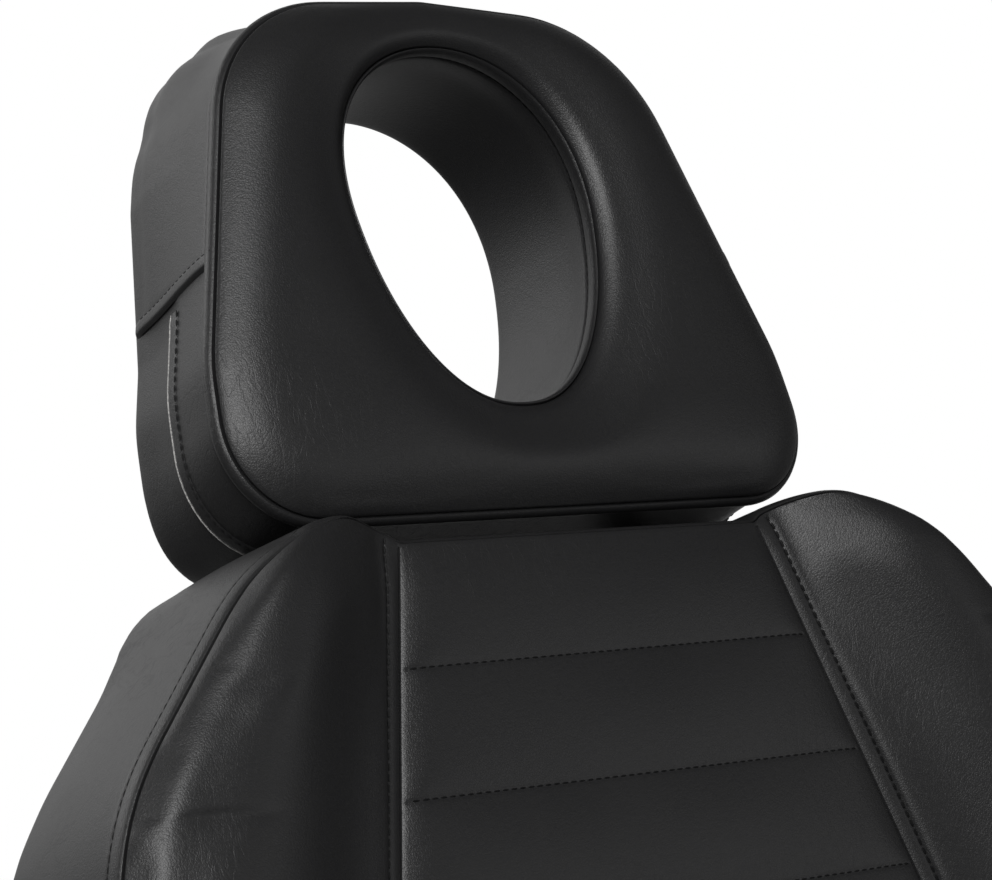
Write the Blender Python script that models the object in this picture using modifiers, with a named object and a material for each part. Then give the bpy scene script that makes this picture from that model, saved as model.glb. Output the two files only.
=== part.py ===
"""Tattoo chair on a hydraulic base, with a reclining back, a headrest with a face hole, leg rests and armrests.

Metres, +Z up. The origin is on the floor on the swivel axis. The sitter faces -Y, so the sitter's left is +X.
"""

import math

import bmesh
import bpy
import numpy as np
from mathutils import Matrix, Vector

for old in list(bpy.data.objects):
    bpy.data.objects.remove(old)

# Fits and facets
FIT = 0.0003
PIN_PLAY = 0.0003
WELD = 0.0001
ROUND_STEPS = 24
ARC_STEP = math.radians(18)
EDGE_BREAK = 0.001
TUBE_ROUND = 0.003
EYE_ROUND = 0.9
SOFT_ROUND = 0.6
SHARP_ANGLE = math.radians(40)
SIDE_VIEW = Matrix(((0, 0, 1, 0), (1, 0, 0, 0), (0, 1, 0, 0), (0, 0, 0, 1)))
FRONT_VIEW = Matrix(((1, 0, 0, 0), (0, 0, -1, 0), (0, 1, 0, 0), (0, 0, 0, 1)))
PLAN_VIEW = Matrix.Identity(4)

# Upholstery shared by the seat, the back and the leg rests
SEAT_HEIGHT = 0.560
FOAM = 0.075
BOARD = 0.015
BOARD_INSET = 0.008
BOLSTER_RISE = 0.020
BOLSTER_BULGE = 0.021
CHANNEL_PITCH = 0.0585
CHANNEL_DEPTH = 0.006
CHANNEL_HALF = 0.010
EDGE_ROLL = 0.030
SIDE_DRAW = 0.003
HINGE_END_DROP = 0.015
HINGE_END_FADE = 0.110
LAST_CHANNEL = 0.35
BOLSTER_EDGE = 1.5
BOLSTER_FULLNESS = 0.8
END_ROWS = (0.08, 0.3, 0.65)
PANEL_COLUMNS = (-1, -0.93, -0.45, 0, 0.45, 0.93, 1)
BOLSTER_COLUMNS = (0.08, 0.36, 0.72, 0.92, 1)

# Seat pad and its place over the swivel axis
SEAT_DEPTH = 0.470
SEAT_AHEAD = 0.265
SEAT_HALF_WIDTH = 0.290
SEAT_PANEL_HALF = 0.165
SEAT_CORNER = 0.045

# Hinges of the back and of the leg rests, in the gaps between the pads
HINGE_DROP = 0.045
BACK_HINGE_GAP = 0.030
LEG_HINGE_GAP = 0.032
HINGE_PIN_RADIUS = 0.006
HINGE_EYE = 0.016
PIN_HEAD_RADIUS = 0.010
PIN_HEAD = 0.004

# Backrest pad, lengths along the pad from its top seam
BACK_ANGLE = math.radians(68.44)
BACK_LENGTH = 0.660
BACK_HALF_WIDTH = 0.307
BACK_WAIST_HALF = 0.272
BACK_BOTTOM_CORNER = 0.055
SHOULDER_HALF = 0.1875
SHOULDER_DROP = 0.1355
SHOULDER_ROUND = 0.072
ARM_ROUND = 0.1415
BOLSTER_PEAK = 0.007
PANEL_TOP_HALF = 0.106
PANEL_SPREAD = 0.255
PANEL_SPREAD_LENGTH = 0.230

# Headrest, in its own tilted plane
HEAD_TILT = math.radians(1.11)
HEAD_GAP = 0.0183
HEAD_SET_BACK = 0.021
HEAD_LENGTH = 0.265
HEAD_THICK = 0.094
HEAD_BASE_HALF = 0.1755
HEAD_WIDE_HALF = 0.169
HEAD_WIDE_AT = 0.075
HEAD_TOP_HALF = 0.1175
HEAD_BASE_ROUND = 0.048
HEAD_TOP_ROUND = 0.080
HEAD_CROWN = 0.016
HOLE_CENTRE = 0.1465
HOLE_HALF_HEIGHT = 0.0945
HOLE_HALF_WIDTH = 0.072
HOLE_EGG = 0.177
HOLE_POWER = 2.3
HEAD_FACETS = 56
HEAD_RINGS = 5

# Leg rests
LEG_DROP = math.radians(60)
LEG_LENGTH = 0.460
LEG_HALF_WIDTH = 0.135
LEG_SPLIT = 0.010
LEG_PANEL_HALF = 0.080
LEG_CORNER = 0.040
LEG_RISE = 0.010
LEG_BAR_DEPTH = 0.030
LEG_BAR_END = 0.040
LEG_HEEL = 0.062
LEG_NECK = 0.013
LEG_NECK_DROP = 0.012
LEG_CLEAT_HALF = 0.090
LEG_CLEAT_WIDTH = 0.035
LEG_CLEAT = 0.006
LEG_CLEATS = (("upper", 0.25), ("lower", 0.75))
RATCHET_RADIUS = 0.024
RATCHET = 0.012

# Seat frame: rails over cross tubes over the swivel plate
RAIL_HEIGHT = 0.040
RAIL_WIDTH = 0.030
RAIL_INNER = 0.1526
RAIL_END = 0.012
EAR = 0.008
EAR_BITE = 0.002
EAR_ROOT = 0.075
EAR_HEEL = 0.006
CROSS_TUBE = 0.030
FRONT_CROSS_AT = -0.180
REAR_CROSS_AT = 0.130
PLATE = 0.008
PLATE_HALF = 0.100

# Swivel and hydraulic column
HUB_RADIUS = 0.045
HUB_HEIGHT = 0.036
BEARING_RADIUS = 0.040
BEARING = 0.009
KING_PIN_RADIUS = 0.012
KING_PIN_SHORT = 0.006
RAM_FLANGE_RADIUS = 0.042
RAM_FLANGE = 0.008
RAM_RADIUS = 0.025
RAM_PLAY = 0.0005
RAM_GRIP = 0.050
LIFT = 0.150
LOWERED_GAP = 0.020
GLAND_RADIUS = 0.046
GLAND = 0.022
CYLINDER_RADIUS = 0.039
RESERVOIR_RADIUS = 0.058
RESERVOIR_HEIGHT = 0.130
RESERVOIR_SLOPE = 0.015
FLANGE_RADIUS = 0.085
FLANGE = 0.012
BORE_END_GAP = 0.005

# Base
BASE_RADIUS = 0.330
BASE_RIM = 0.012
BASE_CROWN = 0.034
BASE_BOSS = 0.110
BASE_ROUND = 0.010
RIM_SHOULDER = 0.7
RIM_FOOT = 0.3

# Foot pedal of the pump
PEDAL_PIVOT_OUT = 0.030
PEDAL_PIVOT_UP = 0.090
PEDAL_PIN_RADIUS = 0.005
PEDAL_EYE = 0.012
PEDAL_REACH = 0.275
PEDAL_RISE = 0.022
PEDAL_BAR = 0.012
PEDAL_HALF = 0.012
PEDAL_PLAY = 0.001
PEDAL_PLATE_HALF = 0.045
PEDAL_PLATE_LENGTH = 0.058
PEDAL_PLATE = 0.006
PEDAL_PAD = 0.010
BRACKET_CHEEK = 0.008
BRACKET_BACK = 0.008
BRACKET_HALF_HEIGHT = 0.028

# Back frame: two tubes that take the headrest posts
BACK_TUBE_AT = 0.120
BACK_TUBE = 0.030
BACK_TUBE_WALL = 0.0025
BACK_TUBE_START = 0.020
BACK_TUBE_SHORT = 0.050
BACK_BORE = 0.240
LUG_TAIL = 0.080
BACK_CROSS_DEPTH = 0.025
LOWER_CROSS_UP = 0.090
UPPER_CROSS_DOWN = 0.190

# Gas spring between the seat frame and the crank of the back frame
CRANK_RADIUS = 0.075
CRANK_ANGLE = math.radians(-126)
CRANK_PIN_RADIUS = 0.005
CRANK_EYE = 0.014
CRANK_NECK = 0.022
EYE_THICK = 0.0085
EYE_SIDE_PLAY = 0.003
EYE_WALL = 0.005
SLOT_PLAY = 0.0016
SLOT_BELOW = 0.0123
SLOT_ABOVE = 0.0068
GAS_RADIUS = 0.012
GAS_ROD_RADIUS = 0.005
GAS_ROD_PLAY = 0.0005
GAS_TRAVEL = 0.095
GAS_ROD_GRIP = 0.025
GAS_NOSE_GAP = 0.150
GAS_ANCHOR_RADIUS = 0.0045
GAS_TAIL = 0.020
GAS_TAIL_TAPER = 0.8
ANCHOR_PLATE = 0.006

# Headrest posts and clamp knobs
POST_PLAY = 0.0003
POST_GRIP = 0.190
POST_STRAP = 0.006
POST_STRAP_LENGTH = 0.150
KNOB_DOWN = 0.030
KNOB_RADIUS = 0.018
KNOB_LOBE = 0.0022
KNOB_LOBES = 6
KNOB_STEPS = 24
KNOB_DEPTH = 0.020
KNOB_SCREW_RADIUS = 0.004
KNOB_SCREW = 0.008

# Armrests
ARM_SPREAD = 0.355
ARM_AT = -0.030
ARM_PAD_LEVEL = 0.164
ARM_TUBE = 0.025
ARM_SOCKET_RADIUS = 0.019
ARM_SOCKET_RISE = 0.090
ARM_SOCKET_DROP = 0.010
ARM_POST_RADIUS = 0.0125
ARM_POST_PLAY = 0.0004
ARM_FLANGE_RADIUS = 0.030
ARM_FLANGE = 0.006
ARM_STUD_RADIUS = 0.006
ARM_STUD = 0.009
ARM_BOARD = 0.012
ARM_PAD_HALF = 0.050
ARM_PAD_FRONT = 0.240
ARM_PAD_REAR = 0.120
ARM_PAD_FOAM = 0.034
ARM_PAD_CROWN = 0.008
ARM_PAD_CORNER = 0.035
ARM_KNOB_DROP = 0.040
ARM_ROWS = (0, 0.02, 0.06, 0.12, 0.35, 0.65, 0.88, 0.94, 0.98, 1)
ARM_COLUMNS = (-1, -0.9, -0.7, -0.3, 0.3, 0.7, 0.9, 1)

# Recline release lever
LEVER_AT = 0.080
LEVER_OUT = 0.312
LEVER_ROD_RADIUS = 0.005
LEVER_ARM = 0.050
LEVER_GRIP = 0.080
LEVER_GRIP_RADIUS = 0.010
LEVER_BEND = 0.020

# Places worked out from the sizes above
seat_front = -SEAT_AHEAD
seat_rear = SEAT_DEPTH - SEAT_AHEAD
hinge_height = SEAT_HEIGHT - HINGE_DROP
back_hinge = Vector((0, seat_rear + BACK_HINGE_GAP, hinge_height))
leg_hinge = Vector((0, seat_front - LEG_HINGE_GAP, hinge_height))
board_front = HINGE_DROP - FOAM
board_back = board_front - BOARD
frame_level = board_back - FIT
rail_top = hinge_height + frame_level
rail_bottom = rail_top - RAIL_HEIGHT
rail_outer = RAIL_INNER + RAIL_WIDTH
cross_top = rail_bottom - FIT
cross_bottom = cross_top - CROSS_TUBE
plate_top = cross_bottom - FIT
hub_top = plate_top - PLATE - FIT
hub_bottom = hub_top - HUB_HEIGHT
bearing_top = hub_bottom - FIT
ram_top = bearing_top - BEARING - FIT
gland_top = ram_top - RAM_FLANGE - LOWERED_GAP
cylinder_top = gland_top - GLAND - FIT
ram_bottom = cylinder_top - LIFT - RAM_GRIP
pump_bottom = BASE_CROWN + FIT

parts = bpy.data.collections.new("tattoo_chair")
cutters = bpy.data.collections.new("cutters")
bpy.context.scene.collection.children.link(parts)
bpy.context.scene.collection.children.link(cutters)


# Materials
def finish(name, colour, roughness, metallic=0.0):
    made = bpy.data.materials.new(name)
    made.use_nodes = True
    shader = made.node_tree.nodes["Principled BSDF"]
    shader.inputs["Base Color"].default_value = (*colour, 1)
    shader.inputs["Roughness"].default_value = roughness
    shader.inputs["Metallic"].default_value = metallic
    return made


leather = finish("black_leather", (0.018, 0.018, 0.019), 0.45)
steel = finish("black_steel", (0.020, 0.020, 0.021), 0.40)
chrome = finish("chrome", (0.75, 0.76, 0.78), 0.12, 1.0)
bright = finish("bright_steel", (0.55, 0.55, 0.56), 0.30, 1.0)
plywood = finish("plywood", (0.42, 0.28, 0.16), 0.65)
plastic = finish("black_plastic", (0.022, 0.022, 0.022), 0.50)
rubber = finish("black_rubber", (0.015, 0.015, 0.015), 0.80)


# Shape builders
def place(obj, material, parent=None):
    parts.objects.link(obj)
    obj.data.materials.append(material)
    obj.parent = parent
    return obj


def pivot(name, location, rotation=(0, 0, 0), parent=None):
    empty = bpy.data.objects.new(name, None)
    empty.location = location
    empty.rotation_euler = rotation
    empty.parent = parent
    parts.objects.link(empty)
    return empty


def mesh_object(name, bm):
    bmesh.ops.recalc_face_normals(bm, faces=bm.faces)
    mesh = bpy.data.meshes.new(name)
    bm.to_mesh(mesh)
    bm.free()
    return bpy.data.objects.new(name, mesh)


def smooth(obj):
    obj.data.shade_smooth()
    obj.data.set_sharp_from_angle(angle=SHARP_ANGLE)
    return obj


def box(name, xs, ys, zs, material, parent=None, bevel=0.0):
    bm = bmesh.new()
    bmesh.ops.create_cube(bm, size=1)
    size = [high - low for low, high in (xs, ys, zs)]
    middle = [(high + low) / 2 for low, high in (xs, ys, zs)]
    bmesh.ops.scale(bm, vec=size, verts=bm.verts)
    bmesh.ops.translate(bm, vec=middle, verts=bm.verts)
    obj = place(mesh_object(name, bm), material, parent)
    if bevel:
        edges = obj.modifiers.new("edges", "BEVEL")
        edges.width = bevel
        edges.segments = 2
    return obj


def square_tube(name, middle, half, along, bore, wall, material, parent):
    """A closed square tube along local Y whose far end is open to a bore of the given depth."""
    bm = bmesh.new()
    bmesh.ops.create_cube(bm, size=1)
    bmesh.ops.scale(bm, vec=(2 * half, along[1] - along[0], 2 * half), verts=bm.verts)
    bmesh.ops.translate(bm, vec=(middle[0], sum(along) / 2, middle[1]), verts=bm.verts)
    mouth = max(bm.faces, key=lambda face: face.calc_center_median().y)
    bmesh.ops.inset_individual(bm, faces=[mouth], thickness=wall, use_even_offset=True)
    floor = bmesh.ops.extrude_discrete_faces(bm, faces=[mouth])["faces"][0]
    bmesh.ops.translate(bm, vec=(0, -bore, 0), verts=floor.verts)
    return place(mesh_object(name, bm), material, parent)


def turned(name, profile, material, parent=None, location=(0, 0, 0), axis="Z", ring=False, steps=ROUND_STEPS):
    """A profile of (radius, height) points, down its outer side, turned about the axis."""
    bm = bmesh.new()
    points = [bm.verts.new((radius, 0, height)) for radius, height in profile]
    for first, second in zip(points, points[1:]):
        bm.edges.new((first, second))
    if ring:
        bm.edges.new((points[-1], points[0]))
    mesh = bpy.data.meshes.new(name)
    bm.to_mesh(mesh)
    bm.free()
    obj = place(bpy.data.objects.new(name, mesh), material, parent)
    obj.location = location
    obj.rotation_euler = {"X": (0, math.pi / 2, 0), "Y": (-math.pi / 2, 0, 0), "Z": (0, 0, 0)}[axis]
    screw = obj.modifiers.new("turn", "SCREW")
    screw.steps = steps
    screw.render_steps = steps
    screw.merge_threshold = WELD / 10
    screw.use_merge_vertices = True
    screw.use_smooth_shade = True
    return obj


def rod(name, radius, start, end, material, parent=None, location=(0, 0, 0), axis="Z"):
    profile = [(0, end), (radius, end), (radius, start), (0, start)]
    return turned(name, profile, material, parent, location, axis)


def headed_pin(name, radius, start, end, material, parent=None, location=(0, 0, 0), axis="X", both=True):
    """A pin whose shank runs from start to end, with a head outside its start and, if both, its end."""
    profile = [(0, start - PIN_HEAD), (PIN_HEAD_RADIUS, start - PIN_HEAD), (PIN_HEAD_RADIUS, start)]
    profile += [(radius, start), (radius, end)]
    if both:
        profile += [(PIN_HEAD_RADIUS, end), (PIN_HEAD_RADIUS, end + PIN_HEAD), (0, end + PIN_HEAD)]
    else:
        profile += [(0, end)]
    return turned(name, profile[::-1], material, parent, location, axis)


def rounded(corners, closed=True):
    """Points of a polygon of (x, y, radius) corners, each rounded by an arc of its radius."""
    points = []
    for index, (x, y, radius) in enumerate(corners):
        here = Vector((x, y))
        if radius == 0:
            points.append(here)
            continue
        before = (Vector(corners[index - 1][:2]) - here).normalized()
        after = (Vector(corners[(index + 1) % len(corners)][:2]) - here).normalized()
        half = before.angle(after) / 2
        centre = here + (before + after).normalized() * radius / math.sin(half)
        start = here + before * radius / math.tan(half) - centre
        turn = math.copysign(math.pi - 2 * half, after.cross(before))
        steps = max(2, round(abs(turn) / ARC_STEP))
        for step in range(steps + 1):
            points.append(centre + Matrix.Rotation(turn * step / steps, 2) @ start)
    return points


def ring_points(centre, radius, count=ROUND_STEPS):
    turns = [2 * math.pi * step / count for step in range(count)]
    return [Vector((centre[0] + radius * math.cos(a), centre[1] + radius * math.sin(a))) for a in turns]


def plate(name, outline, low, high, view, material, parent=None, holes=()):
    """A flat outline with holes, as thick as low to high along the axis that its view looks along."""
    curve = bpy.data.curves.new(name, "CURVE")
    curve.dimensions = "2D"
    curve.fill_mode = "BOTH"
    curve.extrude = (high - low) / 2
    for points in (outline, *holes):
        spline = curve.splines.new("POLY")
        spline.points.add(len(points) - 1)
        spline.use_cyclic_u = True
        for point, (x, y) in zip(spline.points, points):
            point.co = (x, y, 0, 1)
    drawn = bpy.data.objects.new(name, curve)
    bpy.context.scene.collection.objects.link(drawn)
    graph = bpy.context.evaluated_depsgraph_get()
    mesh = bpy.data.meshes.new_from_object(drawn.evaluated_get(graph))
    bpy.data.objects.remove(drawn)
    bpy.data.curves.remove(curve)
    bm = bmesh.new()
    bm.from_mesh(mesh)
    bpy.data.meshes.remove(mesh)
    bmesh.ops.remove_doubles(bm, verts=bm.verts, dist=WELD / 10)
    bmesh.ops.translate(bm, vec=(0, 0, (high + low) / 2), verts=bm.verts)
    bmesh.ops.transform(bm, matrix=view, verts=bm.verts)
    return place(mesh_object(name, bm), material, parent)


def join(target, other, solver="EXACT"):
    """Joins a helper solid to the target, and keeps the helper itself out of the build."""
    step = target.modifiers.new(other.name, "BOOLEAN")
    step.operation = "UNION"
    step.solver = solver
    step.object = other
    parts.objects.unlink(other)
    cutters.objects.link(other)
    other.hide_render = True
    other.display_type = "WIRE"
    return target


def sided(sign, near, far):
    """The range along X from near to far on the side that sign gives."""
    return (near, far) if sign > 0 else (-far, -near)


# Upholstered pads
def roll(distance):
    """How far the cover has risen to its full crown at this distance from a seam."""
    inside = min(max(distance / EDGE_ROLL, 0), 1)
    return math.sqrt(1 - (1 - inside) ** 2)


def ease(value):
    value = min(max(value, 0), 1)
    return value * value * (3 - 2 * value)


def channel_lines(first, last):
    """Places of the sewn lines, one pitch apart, counted from the first end."""
    count = int((last - first) / CHANNEL_PITCH - LAST_CHANNEL)
    return [first + CHANNEL_PITCH * (index + 1) for index in range(count)]


def pad_rows(low, high, lines, corners):
    """Rows across a pad: its rolled ends, its corners and three at each sewn line."""
    rows = {low, high}
    for end, inward, corner in ((low, 1, corners[0]), (high, -1, corners[1])):
        rows |= {end + inward * corner * share for share in END_ROWS}
    for line in lines:
        rows |= {line - CHANNEL_HALF, line, line + CHANNEL_HALF}
    ordered = sorted(rows)
    near = CHANNEL_HALF / 4
    kept = [ordered[0]]
    for row in ordered[1:]:
        if row - kept[-1] > near:
            kept.append(row)
    kept[-1] = high
    return kept


def close_pad(name, bm, back_level, parent):
    """Closes a crowned sheet down to its board, with the side wall drawn in at its middle."""
    sheet = list(bm.faces)
    made = bmesh.ops.extrude_face_region(bm, geom=sheet)["geom"]
    under = [item for item in made if isinstance(item, bmesh.types.BMVert)]
    floor = [item for item in made if isinstance(item, bmesh.types.BMFace)]
    for vert in under:
        vert.co.z = back_level
    bmesh.ops.dissolve_faces(bm, faces=floor)
    low = set(vert for vert in under if vert.is_valid)
    walls = [edge for edge in bm.edges if len(low & set(edge.verts)) == 1]
    cuts = bmesh.ops.subdivide_edges(bm, edges=walls, cuts=1)["geom_inner"]
    ring = [item for item in cuts if isinstance(item, bmesh.types.BMVert)]
    xs = [vert.co.x for vert in bm.verts]
    ys = [vert.co.y for vert in bm.verts]
    middle = Vector(((min(xs) + max(xs)) / 2, (min(ys) + max(ys)) / 2, 0))
    shrink = (1 - 2 * SIDE_DRAW / (max(xs) - min(xs)), 1 - 2 * SIDE_DRAW / (max(ys) - min(ys)), 1)
    bmesh.ops.scale(bm, vec=shrink, space=Matrix.Translation(-middle), verts=ring)
    return place(smooth(mesh_object(name, bm)), leather, parent)


def channelled_pad(name, rows, half_width, panel_half, rise, lines, bump, middle, back_level, hinged, parent):
    """A pad with a sewn, channelled centre panel between two bolsters, which sink towards its hinged ends."""
    columns = [("bolster", -1, share) for share in reversed(BOLSTER_COLUMNS)]
    columns += [("panel", 1, share) for share in PANEL_COLUMNS]
    columns += [("bolster", 1, share) for share in BOLSTER_COLUMNS]
    bm = bmesh.new()
    bmesh.ops.create_grid(bm, x_segments=len(columns) - 1, y_segments=len(rows) - 1, size=1)
    for vert in bm.verts:
        kind, sign, share = columns[round((vert.co.x + 1) / 2 * (len(columns) - 1))]
        row = rows[round((vert.co.y + 1) / 2 * (len(rows) - 1))]
        inner = panel_half(row)
        outer = half_width(row)
        from_end = min(row - rows[0], rows[-1] - row)
        from_hinge = min(abs(row - end) for end in hinged)
        lift = rise * ease(from_hinge / HINGE_END_FADE)
        along = row
        if kind == "panel":
            across = share * inner
            edge = 0.0
            nearest = min([abs(row - line) for line in lines])
            full = CHANNEL_DEPTH * min(nearest / CHANNEL_HALF, 1) * roll((1 - abs(share)) * inner)
        else:
            across = sign * (inner + share * (outer - inner))
            edge = lift * ease(BOLSTER_EDGE * share)
            full = lift * share + BOLSTER_BULGE * (4 * share * (1 - share)) ** BOLSTER_FULLNESS * lift / rise
            along += bump * ease(BOLSTER_EDGE * share) * ease(1 - (rows[-1] - row) / EDGE_ROLL)
        height = HINGE_DROP + edge + (full - edge) * roll(from_end) - HINGE_END_DROP * (1 - roll(from_hinge))
        vert.co = (middle + across, along, height)
    return close_pad(name, bm, back_level, parent)


def inset(points, half_width, length, middle):
    """An outline drawn in by the board's inset all round, about the middle of its length."""
    narrow = 1 - BOARD_INSET / half_width
    short = 1 - 2 * BOARD_INSET / length
    return [(x * narrow, middle + (y - middle) * short) for x, y in points]


def pad_board(name, rows, half_width, middle, parent):
    """The plywood under a pad: the pad's own outline, inset all round."""
    outline = [(half_width(row), row) for row in rows]
    outline += [(-x, y) for x, y in reversed(outline)]
    widest = max(x for x, y in outline)
    drawn_in = inset(outline, widest, rows[-1] - rows[0], (rows[0] + rows[-1]) / 2)
    points = [(middle + x, y) for x, y in drawn_in]
    return plate(name, points, board_back, board_front, PLAN_VIEW, plywood, parent)


def width_along(outline):
    """A function that gives the half width of an open right-hand outline at a place along the pad."""
    places = np.array([point[1] for point in outline])
    widths = np.array([point[0] for point in outline])
    return lambda row: float(np.interp(row, places, widths))


def open_side(corners):
    """The right-hand side of a pad, from the inner end of its first arc to that of its last."""
    inside = [(0, corners[0][1], 0), *corners, (0, corners[-1][1], 0)]
    return rounded(inside)[1:-1]


# Base and hydraulic pump
base_profile = [(0, BASE_CROWN), (FLANGE_RADIUS, BASE_CROWN), (BASE_BOSS, BASE_CROWN - BASE_RIM / 3)]
base_profile += [(BASE_RADIUS - 3 * BASE_ROUND, BASE_RIM + BASE_ROUND / 2)]
base_profile += [(BASE_RADIUS - BASE_ROUND, BASE_RIM), (BASE_RADIUS - BASE_ROUND / 4, BASE_RIM * RIM_SHOULDER)]
base_profile += [(BASE_RADIUS, BASE_RIM * RIM_FOOT), (BASE_RADIUS, 0), (0, 0)]
turned("base_plate", base_profile, steel, steps=2 * ROUND_STEPS)

bore_floor = ram_bottom - BORE_END_GAP
bore_radius = RAM_RADIUS + RAM_PLAY
flange_top = pump_bottom + FLANGE
reservoir_top = pump_bottom + RESERVOIR_HEIGHT
pump_profile = [(0, bore_floor), (bore_radius, bore_floor), (bore_radius, cylinder_top)]
pump_profile += [(CYLINDER_RADIUS, cylinder_top), (CYLINDER_RADIUS, reservoir_top + RESERVOIR_SLOPE)]
pump_profile += [(RESERVOIR_RADIUS, reservoir_top), (RESERVOIR_RADIUS, flange_top)]
pump_profile += [(FLANGE_RADIUS, flange_top), (FLANGE_RADIUS, pump_bottom), (0, pump_bottom)]
turned("pump_cylinder", pump_profile, steel)

gland_bottom = cylinder_top + FIT
gland_profile = [(bore_radius, gland_bottom), (bore_radius, gland_top), (GLAND_RADIUS, gland_top)]
gland_profile += [(GLAND_RADIUS, gland_bottom)]
turned("ram_gland", gland_profile, chrome, ring=True)

pedal_x = RESERVOIR_RADIUS + PEDAL_PIVOT_OUT
pedal_z = pump_bottom + PEDAL_PIVOT_UP
bracket_x = RESERVOIR_RADIUS + FIT
cheek_inner = PEDAL_HALF + PEDAL_PLAY
cheek_outer = cheek_inner + BRACKET_CHEEK
bracket_z = (pedal_z - BRACKET_HALF_HEIGHT, pedal_z + BRACKET_HALF_HEIGHT)
bracket = box(
    "pedal_bracket", (bracket_x, bracket_x + BRACKET_BACK), (-cheek_outer, cheek_outer), bracket_z, steel,
    bevel=EDGE_BREAK,
)
pedal_hole = ring_points((pedal_x, pedal_z), PEDAL_PIN_RADIUS + PIN_PLAY)
cheek_corners = [(bracket_x + BRACKET_BACK - EAR_BITE, bracket_z[0] + EAR_BITE, 0)]
cheek_corners += [(pedal_x + PEDAL_EYE, pedal_z - PEDAL_EYE, PEDAL_EYE * EYE_ROUND)]
cheek_corners += [(pedal_x + PEDAL_EYE, pedal_z + PEDAL_EYE, PEDAL_EYE * EYE_ROUND)]
cheek_corners += [(bracket_x + BRACKET_BACK - EAR_BITE, bracket_z[1] - EAR_BITE, 0)]
for end, low, high in (("near", cheek_inner, cheek_outer), ("far", -cheek_outer, -cheek_inner)):
    cheek = plate("cheek_" + end, rounded(cheek_corners), low, high, FRONT_VIEW, steel, holes=[pedal_hole])
    join(bracket, cheek)
headed_pin(
    "pedal_pin", PEDAL_PIN_RADIUS, -cheek_outer - FIT, cheek_outer + FIT, bright,
    location=(pedal_x, 0, pedal_z), axis="Y",
)

pedal_pivot = pivot("pedal_pivot", (pedal_x, 0, pedal_z))
pedal_corners = [(-PEDAL_EYE, -PEDAL_EYE, PEDAL_EYE * EYE_ROUND)]
pedal_corners += [(PEDAL_EYE, -PEDAL_EYE, PEDAL_EYE * EYE_ROUND)]
pedal_corners += [(PEDAL_REACH, PEDAL_RISE - PEDAL_BAR, 0), (PEDAL_REACH, PEDAL_RISE, 0)]
pedal_corners += [(PEDAL_EYE, PEDAL_EYE, PEDAL_EYE * EYE_ROUND), (-PEDAL_EYE, PEDAL_EYE, PEDAL_EYE * EYE_ROUND)]
pedal = plate(
    "foot_pedal", rounded(pedal_corners), -PEDAL_HALF, PEDAL_HALF, FRONT_VIEW, chrome, pedal_pivot,
    holes=[ring_points((0, 0), PEDAL_PIN_RADIUS + PIN_PLAY)],
)
tread_x = (PEDAL_REACH - PEDAL_PLATE_LENGTH + EAR_BITE, PEDAL_REACH + EAR_BITE)
tread_z = (PEDAL_RISE - PEDAL_PLATE / 2, PEDAL_RISE + PEDAL_PLATE / 2)
tread_y = (-PEDAL_PLATE_HALF, PEDAL_PLATE_HALF)
join(pedal, box("tread_plate", tread_x, tread_y, tread_z, chrome, pedal_pivot))
pad_z = (tread_z[1] + FIT, tread_z[1] + FIT + PEDAL_PAD)
box("pedal_pad", tread_x, tread_y, pad_z, rubber, pedal_pivot, bevel=TUBE_ROUND)

# Ram and swivel bearing, which rise together
king_top = hub_top - KING_PIN_SHORT
ram_profile = [(0, king_top), (KING_PIN_RADIUS, king_top), (KING_PIN_RADIUS, ram_top)]
ram_profile += [(RAM_FLANGE_RADIUS, ram_top), (RAM_FLANGE_RADIUS, ram_top - RAM_FLANGE)]
ram_profile += [(RAM_RADIUS, ram_top - RAM_FLANGE), (RAM_RADIUS, ram_bottom), (0, ram_bottom)]
turned("lift_ram", ram_profile, chrome)

king_bore = KING_PIN_RADIUS + RAM_PLAY
bearing_profile = [(king_bore, ram_top + FIT), (king_bore, bearing_top), (BEARING_RADIUS, bearing_top)]
bearing_profile += [(BEARING_RADIUS, ram_top + FIT)]
turned("swivel_bearing", bearing_profile, bright, ring=True)

# Swivel hub and seat frame
hub_profile = [(king_bore, hub_bottom), (king_bore, hub_top), (HUB_RADIUS, hub_top), (HUB_RADIUS, hub_bottom)]
turned("swivel_hub", hub_profile, steel, ring=True)
plate_range = (-PLATE_HALF, PLATE_HALF)
box("swivel_plate", plate_range, plate_range, (plate_top - PLATE, plate_top), steel, bevel=EDGE_BREAK)

for name, middle in (("front", FRONT_CROSS_AT), ("middle", 0.0), ("rear", REAR_CROSS_AT)):
    depth = (middle - CROSS_TUBE / 2, middle + CROSS_TUBE / 2)
    height = (cross_bottom, cross_top)
    box("cross_tube_" + name, (-rail_outer, rail_outer), depth, height, steel, bevel=TUBE_ROUND)


def ear_outline(hinge, gap, toward):
    """An ear from beside the rail's end up to a hinge; toward is +1 for the rear end and -1 for the front."""
    outer = hinge.y + toward * HINGE_EYE
    inner = hinge.y - toward * HINGE_EYE
    heel = hinge.y - toward * (gap + RAIL_END + EAR_HEEL)
    root = heel - toward * EAR_ROOT
    top = hinge.z + HINGE_EYE
    corners = [(root, rail_bottom + EAR_BITE, 0), (heel, rail_bottom + EAR_BITE, 0)]
    corners += [(outer, hinge.z - HINGE_EYE * SOFT_ROUND, HINGE_EYE * SOFT_ROUND)]
    corners += [(outer, top, HINGE_EYE * EYE_ROUND), (inner, top, HINGE_EYE * EYE_ROUND)]
    corners += [(inner, rail_top - EAR_BITE, 0), (root, rail_top - EAR_BITE, 0)]
    return rounded(corners if toward > 0 else corners[::-1])


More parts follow.
